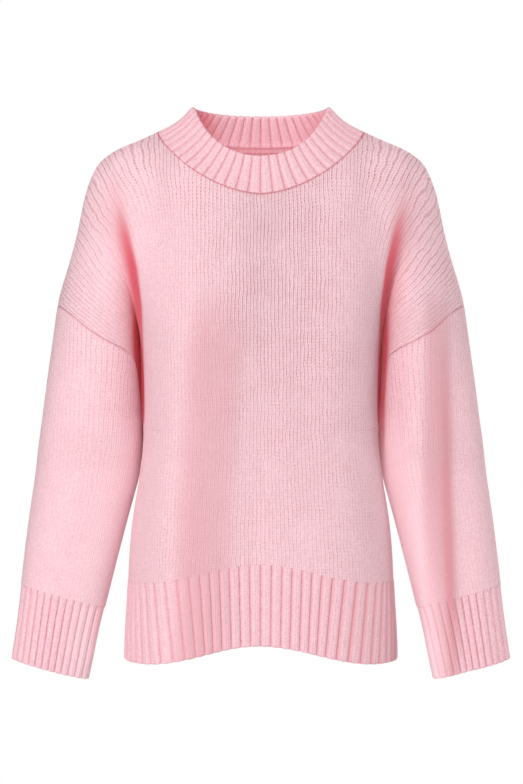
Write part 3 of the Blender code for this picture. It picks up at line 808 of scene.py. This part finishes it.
def wall(name, patches, thickness):
    """A closed wall from patches: its middle lies half the thickness inside the outer face, and each
    face lies half the thickness and its relief away, by the circle's share at the round edges."""
    half = 0.5 * thickness
    points, faces, stitches, painted_shades = [], [], [], []
    start = 0
    for p in patches:
        rows, columns = p.share.shape
        share = np.clip(p.share, 0.0, 1.0)[..., None]
        turn = np.sqrt(1.0 - (1.0 - share) ** 2)  # 0 on the edge, 1 on the open face
        middle = p.points - half * p.normals
        quads = quads_of(np.arange(rows * columns).reshape(rows, columns))
        a, b, c, d = p.points.reshape(-1, 3)[quads].swapaxes(0, 1)
        if (np.cross(c - a, d - b) * p.normals.reshape(-1, 3)[quads].mean(axis=1)).sum() < 0:
            quads = quads[:, ::-1]
        relief = np.broadcast_to(p.relief, (2, rows, columns))[..., None]
        hollow = np.broadcast_to(p.hollow, (2, rows, columns))
        rim = relief[0] * (1.0 - share) * p.way
        for i, face in enumerate((1, -1)):
            points.append((middle + face * (half + relief[i]) * turn * p.normals + rim).reshape(-1, 3))
            faces.append(start + quads[:, ::face])
            stitches.append(p.stitches.reshape(-1, 2))
            painted_shades.append(hollow[i].ravel())
            start += rows * columns
    points, corners = np.concatenate(points), np.concatenate(faces)
    _, first, weld = np.unique(np.round(points, 3), axis=0, return_index=True, return_inverse=True)
    joined = weld.reshape(-1)[corners]
    distinct = (np.diff(np.sort(joined, axis=1), axis=1) > 0).all(axis=1)
    joined, corners = joined[distinct], corners[distinct]
    mesh = bpy.data.meshes.new(name)
    mesh.vertices.add(len(first))
    mesh.vertices.foreach_set("co", (points[first] * MM).astype(np.float32).ravel())
    mesh.loops.add(joined.size)
    mesh.loops.foreach_set("vertex_index", joined.astype(np.int32).ravel())
    mesh.polygons.add(len(joined))
    mesh.polygons.foreach_set("loop_start", np.arange(0, joined.size, 4, dtype=np.int32))
    mesh.update(calc_edges=True)
    layer = mesh.uv_layers.new(name="stitches")
    layer.data.foreach_set("uv", np.concatenate(stitches)[corners.ravel()].astype(np.float32).ravel())
    values = {"hollow": np.concatenate(painted_shades), "clear": clearness(points), "painted_light": inner_sleeve_painted_light(points)}
    for label, value in values.items():
        layer = mesh.attributes.new(label, "FLOAT", "POINT")
        layer.data.foreach_set("value", value[first].astype(np.float32))
    mesh.shade_smooth()
    mesh.set_sharp_from_angle(angle=np.radians(75.0))
    mesh.validate()
    return show(name, mesh)


def open_edges(grid, top=0.0, bottom=0.0, right=0.0, corner=None):
    """Share of the way from the nearest cut edge to the end of its rounding, which has this width."""
    share = np.full(grid.shape[:2], 1.0)
    down = lengths_along(grid)
    if top:
        share = np.minimum(share, down / top)
    if bottom:
        share = np.minimum(share, (down[-1] - down) / bottom)
    if right:
        across = lengths_along(grid, axis=1)
        share = np.minimum(share, (across[:, -1:] - across) / right)
    if corner is not None:
        share = np.minimum(share, np.linalg.norm(grid - corner, axis=-1) / ARMHOLE_EDGE)
    return share


def mirrored(patches):
    """The patches and their mirror images across the centre."""
    flip = np.array([-1.0, 1.0, 1.0])
    other = [
        p._replace(
            points=p.points * flip,
            normals=p.normals * flip,
            way=p.way * flip,
            stitches=p.stitches * (-1.0, 1.0),
        )
        for p in patches
    ]
    return patches + other


def folded(patches, side):
    """The patches with their folds, which move the whole wall along its normals, less where it
    turns sideways. The flank of each fold that faces away from the lamps gets painted shade, by its
    slope across."""
    done = []
    for p in patches:
        front_on = p.normals[..., 1] ** 2
        height = fold_lift(p.points, side) * front_on
        slope = height - fold_lift(p.points + (1.0, 0.0, 0.0), side) * front_on
        shade = FLANK_SHADE * (np.clip(slope, *FLANK_SLOPES) - FLANK_SLOPES[0])
        hollow = np.maximum(p.hollow, shade + p.hollow * (1.0 - shade))
        done.append(p._replace(points=p.points + height[..., None] * p.normals, hollow=hollow))
    return done


def crease_painted_shade(points):
    """How much painted shade a point has in the crease between torso and sleeve, from 0 to 1. It
    rises steeply on the torso side and gently on the sleeve side, starts on the shoulder, and ends
    where torso and sleeve part."""
    x, down = np.abs(points[..., 0]), -points[..., 2]

    def by_height(row):
        return np.interp(down, SHADE_HEIGHTS, row)

    other = SHADE_OTHER * (points[..., 0] > 0.0) * ease((down - SHADE_OTHER_FROM[0]) / SHADE_OTHER_FROM[1])
    line = by_height(SHADE_LINE) + 0.4 * other
    past = np.maximum(x - line - other - by_height(SHADE_FULL), 0.0) / by_height(SHADE_OUT)
    before = np.maximum(line - x, 0.0) / by_height(SHADE_IN)
    return by_height(SHADE_DEPTH) * np.exp(-np.where(x > line, past**1.3, before**2.0))


def seam_painted_shade(grid, coordinates, top, bottom):
    """Painted shade in the gap of a seam at the top and bottom edges: a narrow band with a tooth at each
    stitch.
    """
    down = lengths_along(grid)
    tooth = SEAM_TOOTH * np.abs(2.0 * (coordinates[..., 0] % 1.0) - 1.0)
    at_top = top * bell(np.maximum(down - tooth, 0.0), SEAM_WIDTHS[0])
    return np.maximum(at_top, bottom * bell(down[-1] - down, SEAM_WIDTHS[1]))


def plain_patch(grid, normals, share, coordinates, top=0.0, bottom=0.0):
    """A patch of plain knit, with painted shade in the crease and along its seams."""
    shade = np.maximum(crease_painted_shade(grid), seam_painted_shade(grid, coordinates, top, bottom))
    none = np.zeros(grid.shape[:2])
    return Patch(grid, normals, share, np.zeros_like(grid), none, coordinates, shade)


def panel(side):
    """A whole front or back: its patches."""
    chest, shoulder = chest_grid(side), shoulder_grid(side)
    shoulder[:, 0] = chest[:, -1]
    yoke, below = slice(0, len(chest)), slice(len(chest) - 1, None)
    torso = torso_grid(
        underarm_level,
        hem_level(HEM_TOP),
        even(BODY_ROWS, end=JOIN_EDGE / 160.0),
        even(CHEST_COLUMNS, end=0.005),
        side,
    )
    body = np.concatenate([chest, torso[1:]])
    normals = [outward(grid, BODY, side) for grid in (body, shoulder)]
    maps = stitch_map([body, shoulder], normals, knit_ways)
    corner = body[below][0, -1].copy()
    share = open_edges(body, top=NECK_EDGE, bottom=JOIN_EDGE, corner=corner)
    share[below] = np.minimum(share[below], open_edges(body, right=SIDE_EDGE)[below])
    over = open_edges(shoulder, NECK_EDGE, ARMHOLE_EDGE, SHOULDER_EDGE, corner)
    share[yoke, -1] = over[:, 0] = np.minimum(share[yoke, -1], over[:, 0])
    # the pieces part a little at every seam
    gap = ARMHOLE_GAP * (1.0 - ease(np.linalg.norm(body - corner, axis=-1) / SEAM_FADE))
    parted = shoulder.copy()
    to_seam = lengths_along(shoulder)
    parted[..., 2] += ARMHOLE_GAP * (1.0 - ease((to_seam[-1] - to_seam) / SEAM_FADE))
    gap[yoke, -1] = parted[:, 0, 2] - shoulder[:, 0, 2]
    body[yoke, :, 2] += gap[yoke]
    for grid in (body, parted):
        grid[..., 1] += side * SEAM
        grid[..., 2] -= SEAM * (1.0 - ease(lengths_along(grid) / SEAM_FADE))
    patches = [
        plain_patch(body, normals[0], share, maps[0], NECK_SHADE),
        plain_patch(parted, normals[1], over, maps[1], NECK_SHADE, ARMHOLE_SHADE),
    ]
    return folded(mirrored(patches), side)


def sleeve(hand):
    """A sleeve: its front and back halves, which run into each other."""
    patches = []
    turn = np.array([hand, 1.0, 1.0])
    down = even(SLEEVE_ROWS, 0.005, JOIN_EDGE / 300.0)
    for side in (FRONT, BACK):
        grid = arm_grid(ARMHOLE_HEIGHT, cuff_level(CUFF_TOP), down, even(SLEEVE_COLUMNS), side)
        normals = outward(grid, ARM, side)
        coordinates = stitch_map([grid], [normals], sleeve_ways)[0] * (-side * hand, 1.0)
        share = open_edges(grid, top=ARMHOLE_EDGE, bottom=JOIN_EDGE)
        patch = plain_patch(grid * turn, normals * turn, share, coordinates, ARMHOLE_SHADE)
        patches += folded([patch], side)
    return patches


def rib_columns(ribs):
    """Rib number at each column of a band, with more columns in the grooves."""
    return np.concatenate([(np.arange(ribs)[:, None] + RIB_STEPS).ravel(), [ribs]])


def rib_form(number):
    """Height of a rib's cross-section, from -1 in the groove to 0 on top: -|across|^power."""
    across = 2.0 * (number - np.floor(number)) - 1.0
    return -(np.abs(across) ** RIB_ROUND)


def rib_patch(grid, normals, columns, down, top=JOIN_EDGE, right=0.0):
    """A band's patch from its grid: ribs across, stitch rows down, rounded edges. The ribs flatten
    out at a cast-off edge, and start over a short stretch where the band is knitted on."""
    start = ease((down + RIB_START[0]) / RIB_START[1])
    way = unit(np.gradient(grid, axis=0))
    upper_way = np.zeros_like(way)
    if top == CAST_OFF:
        start = RIM_RIBS + (1.0 - RIM_RIBS) * ease(down / RIM)
        upper_way = -way
    end = RIM_RIBS + (1.0 - RIM_RIBS) * ease((down[-1] - down) / RIM)
    relief = RIB_HEIGHT * (rib_form(columns)[None, :] + RIB_TOP) * start * end
    return Patch(
        points=grid,
        normals=normals,
        share=open_edges(grid, top=top, bottom=CAST_OFF, right=right),
        way=np.where((down > 0.5 * down[-1])[..., None], way, upper_way),
        relief=relief,
        stitches=np.stack(np.broadcast_arrays(columns[None, :], down / COURSE), -1),
        hollow=np.zeros(grid.shape[:2]),
    )


def hem(side):
    """The ribbing below a front or back."""
    numbers = rib_columns(HEM_RIBS)
    placed = len(HEM_GROOVES) - 1
    places, leans = [np.interp(numbers, np.arange(placed + 1), row) for row in (HEM_GROOVES, HEM_LEANS)]
    past = np.maximum(numbers - placed, 0.0) / (HEM_RIBS - placed)
    top, bottom = hem_level(HEM_TOP), hem_level(HEM_BOTTOM)
    grid = []
    for fall in even(BAND_ROWS, JOIN_EDGE / HEM_DEPTH, CAST_OFF / HEM_DEPTH):
        z = top(ACROSS) + (bottom(ACROSS) - top(ACROSS)) * fall
        row = lift(ACROSS * torso_edge(z), z, BODY, side)
        along = lengths_along(row)
        wanted = np.interp(places + leans * (0.5 - fall), row[:, 0], along)
        grid.append(divide(row, (wanted + past * (along[-1] - wanted)) / along[-1]))
    grid = np.array(grid)
    normals = outward(grid, BODY, side)
    down = lengths_along(grid)
    grid[..., 1] += side * SEAM
    patches = folded(mirrored([rib_patch(grid, normals, numbers, down, right=SIDE_EDGE)]), side)
    # Painted shade in the hem's grooves, deeper on the side away from the lamps
    groove_painted_shade = -GROOVE_SHADE * rib_form(numbers)
    done = []
    for p in patches:
        shade = groove_painted_shade * ease(p.points[..., 0] / GROOVE_REACH)
        done.append(p._replace(hollow=np.maximum(p.hollow, shade)))
    return done


def cuff(hand):
    """A ribbed cuff: its front and back halves, which run into each other."""
    patches = []
    turn = np.array([hand, 1.0, 1.0])
    numbers = rib_columns(CUFF_RIBS)
    shares = numbers / CUFF_RIBS
    seen = np.arccos(1.0 - 2.0 * shares) / np.pi
    shares = CUFF_EVEN * seen + (1.0 - CUFF_EVEN) * shares
    rows = even(BAND_ROWS, JOIN_EDGE / CUFF_DEPTH, CAST_OFF / CUFF_DEPTH)
    for side in (FRONT, BACK):
        grid = arm_grid(cuff_level(CUFF_TOP), cuff_level(CUFF_BOTTOM), rows, shares, side)
        normals = outward(grid, ARM, side)
        patches += folded([rib_patch(grid * turn, normals * turn, numbers, lengths_along(grid))], side)
    return patches


def neckline_ring(angle):
    """Points of the neckline and their normals by the angle round the neck, from the centre front,
    0 to 360 degrees."""
    sine = np.abs(np.sin(angle))
    quarter = np.arcsin(np.clip(sine, 0.0, 1.0))
    halves = []
    for side in (FRONT, BACK):
        points = lift(NECK_HALF * sine, neckline_height(quarter, side), BODY, side)
        halves.append(np.stack([points, outward(points, BODY, side)]))
    both = np.where((np.cos(angle) >= 0.0)[:, None], *halves)
    both[..., 0] *= np.where(np.sin(angle) < 0.0, -1.0, 1.0)
    return both


def collar_top(angle):
    """The collar's top edge above each point of the neckline."""
    whole = np.hypot(1.0, COLLAR_CORNER)
    rise = (whole - np.hypot(np.cos(angle), COLLAR_CORNER)) / (whole - COLLAR_CORNER)
    front = np.cos(angle) >= 0.0
    depth = np.where(front, -COLLAR_FRONT[0], COLLAR_BACK[0]) * np.abs(np.cos(angle))
    height = np.where(front, COLLAR_FRONT[1], COLLAR_BACK[1])
    height = height + (COLLAR_SIDE - height) * np.where(front, rise**COLLAR_SCOOP, rise)
    return np.stack([COLLAR_HALF * np.sin(angle), depth, height], -1)


def collar():
    """The collar: a straight sweep from the neckline to its top edge, hollowed a little between."""
    angles = np.linspace(0.0, 2.0 * np.pi, 4000)
    lengths = [lengths_along(line) for line in (neckline_ring(angles)[0], collar_top(angles))]
    even_ribs = 0.5 * sum(length / length[-1] for length in lengths)
    numbers = rib_columns(COLLAR_RIBS)
    at = np.interp(numbers / COLLAR_RIBS, even_ribs, angles)
    ring, lean = neckline_ring(at)
    top = collar_top(at)
    up = top - ring
    tooth = np.abs(2.0 * ((3.0 * numbers) % 1.0) - 1.0)
    ring = ring + (COLLAR_GAP - COLLAR_TOOTH * tooth)[:, None] * unit(up)
    share = even(COLLAR_ROWS, 0.04, 0.04)[:, None, None]
    rows = ring + (top - ring) * share
    along = np.gradient(rows, axis=1)
    along[:, 0] = along[:, -1] = rows[:, 1] - rows[:, -2]
    normals = unit(np.cross(along, np.broadcast_to(up, rows.shape)))
    normals *= np.sign((normals * rows * (1.0, 1.0, 0.0)).sum())
    rows = rows - COLLAR_SAG * 4.0 * share * (1.0 - share) * normals
    turn = ease(1.0 - share * 3.0)
    normals = unit(normals * (1.0 - turn) + lean * turn)
    down = lengths_along(rows)
    roll = ROLL * np.abs(np.sin(at)) ** 3 * bell(down[-1] - down, ROLL_REACH)
    rows = rows + roll[..., None] * normals
    band = rib_patch(rows, normals, numbers, down, top=CAST_OFF)
    above = down - CORD_PLACE
    cord = CORD_HEIGHT * bell(above, CORD_WIDTH)
    tape = TAPE_HEIGHT * (1.0 - ease((above + TAPE_TOP[0]) / TAPE_TOP[1]))
    inside = band.relief * ease((above + INNER_RIBS[0]) / INNER_RIBS[1]) + cord + tape
    # Painted shade inside the collar, where it lies in shadow: beside the neck, below the cord and along
    # the neckline
    x = rows[..., 0]
    beside = ease((np.abs(x) - INNER_FROM[0]) / INNER_FROM[1]) * np.where(x < 0.0, *INNER_SHADE)
    under_cord = sum(dark * bell(above + below, UNDER_CORD_WIDTH) for below, dark in UNDER_CORD)
    low = TAPE_SHADE[0] * bell(down, TAPE_SHADE[1])
    shade = np.maximum(np.maximum(beside, under_cord), low)
    relief = np.stack([band.relief, inside]) + roll
    return [band._replace(relief=relief, hollow=np.stack([np.zeros_like(shade), shade]))]


# ---- finishes ----


class Wire:
    """A socket, with the arithmetic that the finishes use."""

    def __init__(self, nodes, socket):
        self.nodes = nodes
        self.socket = socket

    def maths(self, operation, *inputs):
        return self.nodes.node("ShaderNodeMath", {"operation": operation}, inputs)

    def __add__(self, other):
        return self.maths("ADD", self, other)

    __radd__ = __add__

    def __sub__(self, other):
        return self.maths("SUBTRACT", self, other)

    def __rsub__(self, other):
        return self.maths("SUBTRACT", other, self)

    def __mul__(self, other):
        return self.maths("MULTIPLY", self, other)

    __rmul__ = __mul__

    def __truediv__(self, other):
        return self.maths("DIVIDE", self, other)

    def __pow__(self, other):
        return self.maths("POWER", self, other)

    def fraction(self):
        return self.maths("FRACT", self)

    def size(self):
        return self.maths("ABSOLUTE", self)

    def most(self, other):
        return self.maths("MINIMUM", self, other)

    def least(self, other):
        return self.maths("MAXIMUM", self, other)

    def between(self, low, high):
        """0 at low, 1 at high, smooth between."""
        settings = {"interpolation_type": "SMOOTHSTEP"}
        inputs = {"Value": self, "From Min": low, "From Max": high}
        return self.nodes.node("ShaderNodeMapRange", settings, inputs)


# Yarn colours. The light one is random tone and painted highlight and light; the gap one is random tone
# and painted shade between stitches; the groove, shade and deep ones are painted shade.
YARN = (0.875, 0.545, 0.602, 1.0)
YARN_PAINTED_LIGHT_AND_TONE = (0.98, 0.72, 0.770, 1.0)
YARN_GAP_SHADE_AND_TONE = (0.56, 0.19, 0.24, 1.0)
YARN_GROOVE_SHADE = (0.72, 0.27, 0.33, 1.0)
YARN_PAINTED_SHADE = (0.76, 0.385, 0.43, 1.0)
YARN_PAINTED_DEEP_SHADE = (0.70, 0.085, 0.125, 1.0)
STITCH_HEIGHT = 0.0008
RIB_STITCH_HEIGHT = 0.00035


class Nodes:
    """The nodes of a material or of the world."""

    def __init__(self, owner):
        owner.use_nodes = True
        self.owner = owner
        self.tree = owner.node_tree
        self.tree.nodes.clear()

    def node(self, kind, settings=None, inputs=None, output=0):
        """A new node: its settings first, then its sockets, by place or by name."""
        made = self.tree.nodes.new(kind)
        for name, value in (settings or {}).items():
            setattr(made, name, value)
        inputs = dict(enumerate(inputs)) if isinstance(inputs, (list, tuple)) else (inputs or {})
        for name, value in inputs.items():
            if isinstance(value, Wire):
                self.tree.links.new(value.socket, made.inputs[name])
            else:
                made.inputs[name].default_value = value
        return Wire(self, made.outputs[output]) if len(made.outputs) else None

    def mix(self, factor, first, second):
        """A colour between two: factor 0 gives the first."""
        return self.node("ShaderNodeMix", {"data_type": "RGBA"}, {0: factor, 6: first, 7: second}, 2)

    def noise(self, vector, scale, detail=2.0, roughness=0.5):
        inputs = {"Vector": vector, "Scale": scale, "Detail": detail, "Roughness": roughness}
        return self.node("ShaderNodeTexNoise", {}, inputs)

    def attribute(self, name):
        return self.node("ShaderNodeAttribute", {"attribute_name": name}, output=2)

    def places(self):
        """The object's own coordinates, and the stitches': together, across and down."""
        mapped = self.node("ShaderNodeUVMap", {"uv_map": "stitches"})
        across, down = [self.node("ShaderNodeSeparateXYZ", {}, [mapped], way) for way in (0, 1)]
        return self.node("ShaderNodeTexCoord", output=3), mapped, across, down

    def with_grain_painted_light_and_shade(self, colour, place, painted_light):
        """The colour with its grain of fibre, painted light down the inner sleeves, and painted shade
        in creases, seams, fold flanks, grooves and inside the collar.
        """
        grain = self.noise(place, 420.0, 3.0, 0.6).between(0.3, 0.7)
        hollow = self.attribute("hollow")
        for factor, other in (
            (grain * 0.32, YARN_PAINTED_LIGHT_AND_TONE),
            ((1.0 - grain) * 0.16, YARN_GAP_SHADE_AND_TONE),
            (self.attribute("painted_light") * painted_light, YARN_PAINTED_LIGHT_AND_TONE),
            ((hollow * 2.0).most(1.0), YARN_PAINTED_SHADE),
            (hollow.between(0.3, 1.0), YARN_PAINTED_DEEP_SHADE),
        ):
            colour = self.mix(factor, colour, other)
        return colour

    def surface(self, colour, fibre, height):
        """Principled shader: matt yarn with a soft sheen of fibre ends."""
        bump = self.node("ShaderNodeBump", {}, {"Strength": 1.0, "Distance": 1.0, "Height": height})
        inputs = {
            "Base Color": colour,
            "Roughness": fibre * 0.12 + 0.85,
            "Normal": bump,
            "Specular IOR Level": 0.15,
            "Sheen Weight": 0.25,
            "Sheen Roughness": 0.45,
            "Sheen Tint": (1.0, 0.86, 0.88, 1.0),
        }
        shader = self.node("ShaderNodeBsdfPrincipled", {}, inputs)
        self.node("ShaderNodeOutputMaterial", {}, {"Surface": shader})
        return self.owner


def stitches_of(across, down, rise):
    """Two yarn legs a stitch that lean out and up from the middle of its column. Returns how high
    the yarn stands, from 0 in the gaps to 1, which feeds the bump and in the plain knit a painted
    highlight, and how much painted shade lies in the gaps, from 0 to 1: between the columns, fainter
    down the middle of a column, and deeper where the strands of a leg meet."""
    off = (across.fraction() * 2.0 - 1.0).size()
    leg = (1.0 - ((off - 0.46) / 0.54) ** 2.0).least(0.0)
    place = (down + off * rise).fraction() * 2.0 - 1.0
    strand = 1.0 - place.size() ** 2.0
    between = off.between(0.42, 0.95)
    middle = (1.0 - off).between(0.72, 1.0)
    gap = (between + middle * 0.35) * (1.15 - strand * 1.05)
    return leg * (strand * 0.45 + 0.55), gap


def plain_knit():
    """Stocking stitch: columns of yarn legs with painted highlights, painted shade between columns,
    uneven tension, stitch rows that differ a little, and loose fibre."""
    finish = Nodes(bpy.data.materials.new("plain_knit"))
    place, mapped, across, down = finish.places()
    clear = finish.attribute("clear")
    wobble = finish.noise(place, 60.0) - 0.5
    drift = finish.noise(place, 24.0) - 0.5
    yarn, gap = stitches_of(across + wobble * 0.7 + drift * 0.9, down + wobble * 1.2 + drift * 2.0, 0.85)
    tension = finish.noise(place, 14.0, 3.0)
    rows = finish.node("ShaderNodeMapping", {}, {"Vector": mapped, "Scale": (0.03, 0.45, 1.0)})
    fibre = finish.noise(place, 900.0, 2.0, 0.6)
    height = yarn * (clear * 0.8 + 0.4) * STITCH_HEIGHT + fibre * 0.00018
    height = height + finish.noise(rows, 1.0) * 0.0006 + tension * 0.002
    uneven = finish.noise(place, 130.0).between(0.25, 0.75) * 0.6
    uneven = uneven + finish.noise(place, 28.0).between(0.3, 0.7) * 0.8 + 0.4
    # Painted highlight on the yarn legs, then painted shade in the gaps between stitches
    colour = finish.mix(yarn * (clear * 0.85 + 0.1), YARN, YARN_PAINTED_LIGHT_AND_TONE)
    colour = finish.mix((gap * uneven * (clear * 1.55 + 0.03)).most(1.0), colour, YARN_GAP_SHADE_AND_TONE)
    return finish.surface(finish.with_grain_painted_light_and_shade(colour, place, 0.8), fibre, height)


def ribbing():
    """Ribbed knit: two columns of stitches on each rib, with painted shade between stitches and in
    the groove between ribs.
    """
    finish = Nodes(bpy.data.materials.new("ribbing"))
    place, _, across, down = finish.places()
    across = across.fraction()
    wobble = finish.noise(place, 70.0) - 0.5
    groove = ((across * 2.0 - 1.0).size() + wobble * 0.12).between(0.5, 1.0)
    yarn, gap = stitches_of(across * 2.0 + wobble * 0.3, down + wobble * 0.6, 0.7)
    fibre = finish.noise(place, 900.0, 2.0, 0.6)
    tension = finish.noise(place, 16.0, 3.0)
    height = yarn * RIB_STITCH_HEIGHT + fibre * 0.00016 + tension * 0.001
    # Painted shade between stitches and in the grooves between ribs
    colour = finish.mix(gap * 0.3, YARN, YARN_GAP_SHADE_AND_TONE)
    colour = finish.mix(groove * 0.62, colour, YARN_GROOVE_SHADE)
    return finish.surface(finish.with_grain_painted_light_and_shade(colour, place, 0.6), fibre, height)


# The two cloths: slot, thickness, material
PLAIN = ("plain_knit", CLOTH, plain_knit())
RIBBED = ("ribbing", RIBBING, ribbing())


def sew(name, node, cloth, patches):
    """A finished piece of the sweater: its wall and material, and the solid it stands for, hidden."""
    slot, thickness, material = cloth
    piece = wall(name, patches, thickness)
    piece.data.materials.append(material)
    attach(piece, "root")
    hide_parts(node)


for name, side, area in (("front", FRONT, 0.26), ("back", BACK, 0.27)):
    sew(f"knitted_{name}", name, PLAIN, panel(side))
for name, hand in (("left", 1.0), ("right", -1.0)):
    tube = f"knitted_sleeve_{name}"
    sew(tube, f"sleeve_{name}", PLAIN, sleeve(hand))
    sew(f"cuff_band_{name}", f"cuff_{name}", RIBBED, cuff(hand))
for name, side in (("front", FRONT), ("back", BACK)):
    sew(f"hem_band_{name}", f"hem_{name}", RIBBED, hem(side))
sew("collar_band", "collar", RIBBED, collar())

# ---- studio ----

low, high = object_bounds()
FLOOR_GAP = 0.42  # the sweater hangs this far above the floor
FLOOR_RADIUS = 1.5
FLOOR_RINGS = 12
FLOOR_SIDES = 96


def floor():
    """A round pale floor: rings of points from the centre outwards."""
    rings = np.linspace(0.0, FLOOR_RADIUS, FLOOR_RINGS + 1)[1:]
    turn = np.linspace(0.0, 2.0 * np.pi, FLOOR_SIDES, endpoint=False)
    spots = np.stack([np.outer(rings, np.cos(turn)), np.outer(rings, np.sin(turn))], -1)
    level = cad_box[0].z - FLOOR_GAP
    points = np.concatenate([[[0.0, 0.0, level]], np.insert(spots.reshape(-1, 2), 2, level, axis=1)])
    index = 1 + np.arange(FLOOR_RINGS * FLOOR_SIDES).reshape(FLOOR_RINGS, FLOOR_SIDES)
    index = np.column_stack([index, index[:, 0]])
    centre = np.stack([np.zeros(FLOOR_SIDES, int), index[0, :-1], index[0, 1:]], -1)
    mesh = bpy.data.meshes.new("studio_floor")
    mesh.from_pydata(points.tolist(), [], quads_of(index)[:, ::-1].tolist() + centre.tolist())
    finish = Nodes(bpy.data.materials.new("studio_floor"))
    shader = finish.node("ShaderNodeBsdfDiffuse", {}, {"Color": (0.93, 0.93, 0.93, 1.0)})
    finish.node("ShaderNodeOutputMaterial", {}, {"Surface": shader})
    mesh.materials.append(finish.owner)
    show("studio_floor", mesh)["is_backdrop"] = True


def world(strength):
    """Even white light, and a white background wherever the camera, gloss or glass sees it."""
    sky = Nodes(bpy.data.worlds.new("studio"))
    rays = [f"Is {kind} Ray" for kind in ("Camera", "Glossy", "Transmission")]
    camera_ray, gloss_ray, glass_ray = [sky.node("ShaderNodeLightPath", output=ray) for ray in rays]
    seen = (camera_ray + gloss_ray + glass_ray).most(1.0)
    inputs = {"Color": (1.0, 1.0, 1.0, 1.0), "Strength": seen * (1.0 - strength) + strength}
    sky.node("ShaderNodeOutputWorld", {}, {"Surface": sky.node("ShaderNodeBackground", {}, inputs)})
    bpy.context.scene.world = sky.owner


def softbox(name, place, size, power, shadows=True):
    """A square lamp that faces the middle of the sweater."""
    data = bpy.data.lights.new(name, "AREA")
    data.use_shadow = shadows
    data.size = size
    data.energy = power
    lamp = show(name, data)
    lamp.location = place
    lamp.rotation_mode = "QUATERNION"
    lamp.rotation_quaternion = (0.5 * (low + high) - lamp.location).to_track_quat("-Z", "Y")
    return lamp


floor()
world(0.16)
softbox("front", (-0.65, -3.1, 0.7), 1.2, 31.0)
softbox("front_fill", (-1.6, -2.75, -0.35), 1.2, 36.0, False)
softbox("near_left", (-0.95, -0.75, 0.0), 0.5, 1.6)
softbox("right", (2.4, 0.1, 0.0), 1.2, 22.0)
softbox("top", (0.1, -1.5, 1.8), 1.0, 24.0)
softbox("back", (0.8, 2.9, 0.6), 1.5, 60.0)
glow = softbox("light_through_the_cloth", (0.0, -0.03, -0.14), 0.06, 0.08)
glow.rotation_quaternion = Vector((0.0, 0.09, 0.14)).to_track_quat("-Z", "Y")
glow.visible_camera = False
glow.data.color = (1.0, 0.95, 0.96)

camera_data = bpy.data.cameras.new("camera")
camera_data.lens = 123.78
camera_data.sensor_width = 36.0
camera = show("camera", camera_data)
camera.location = (0.0007, -3.1, -0.3036)
camera.rotation_euler = (0.5 * np.pi, 0.0, 0.0)
bpy.context.scene.camera = camera
bpy.context.scene.view_settings.view_transform = "Standard"
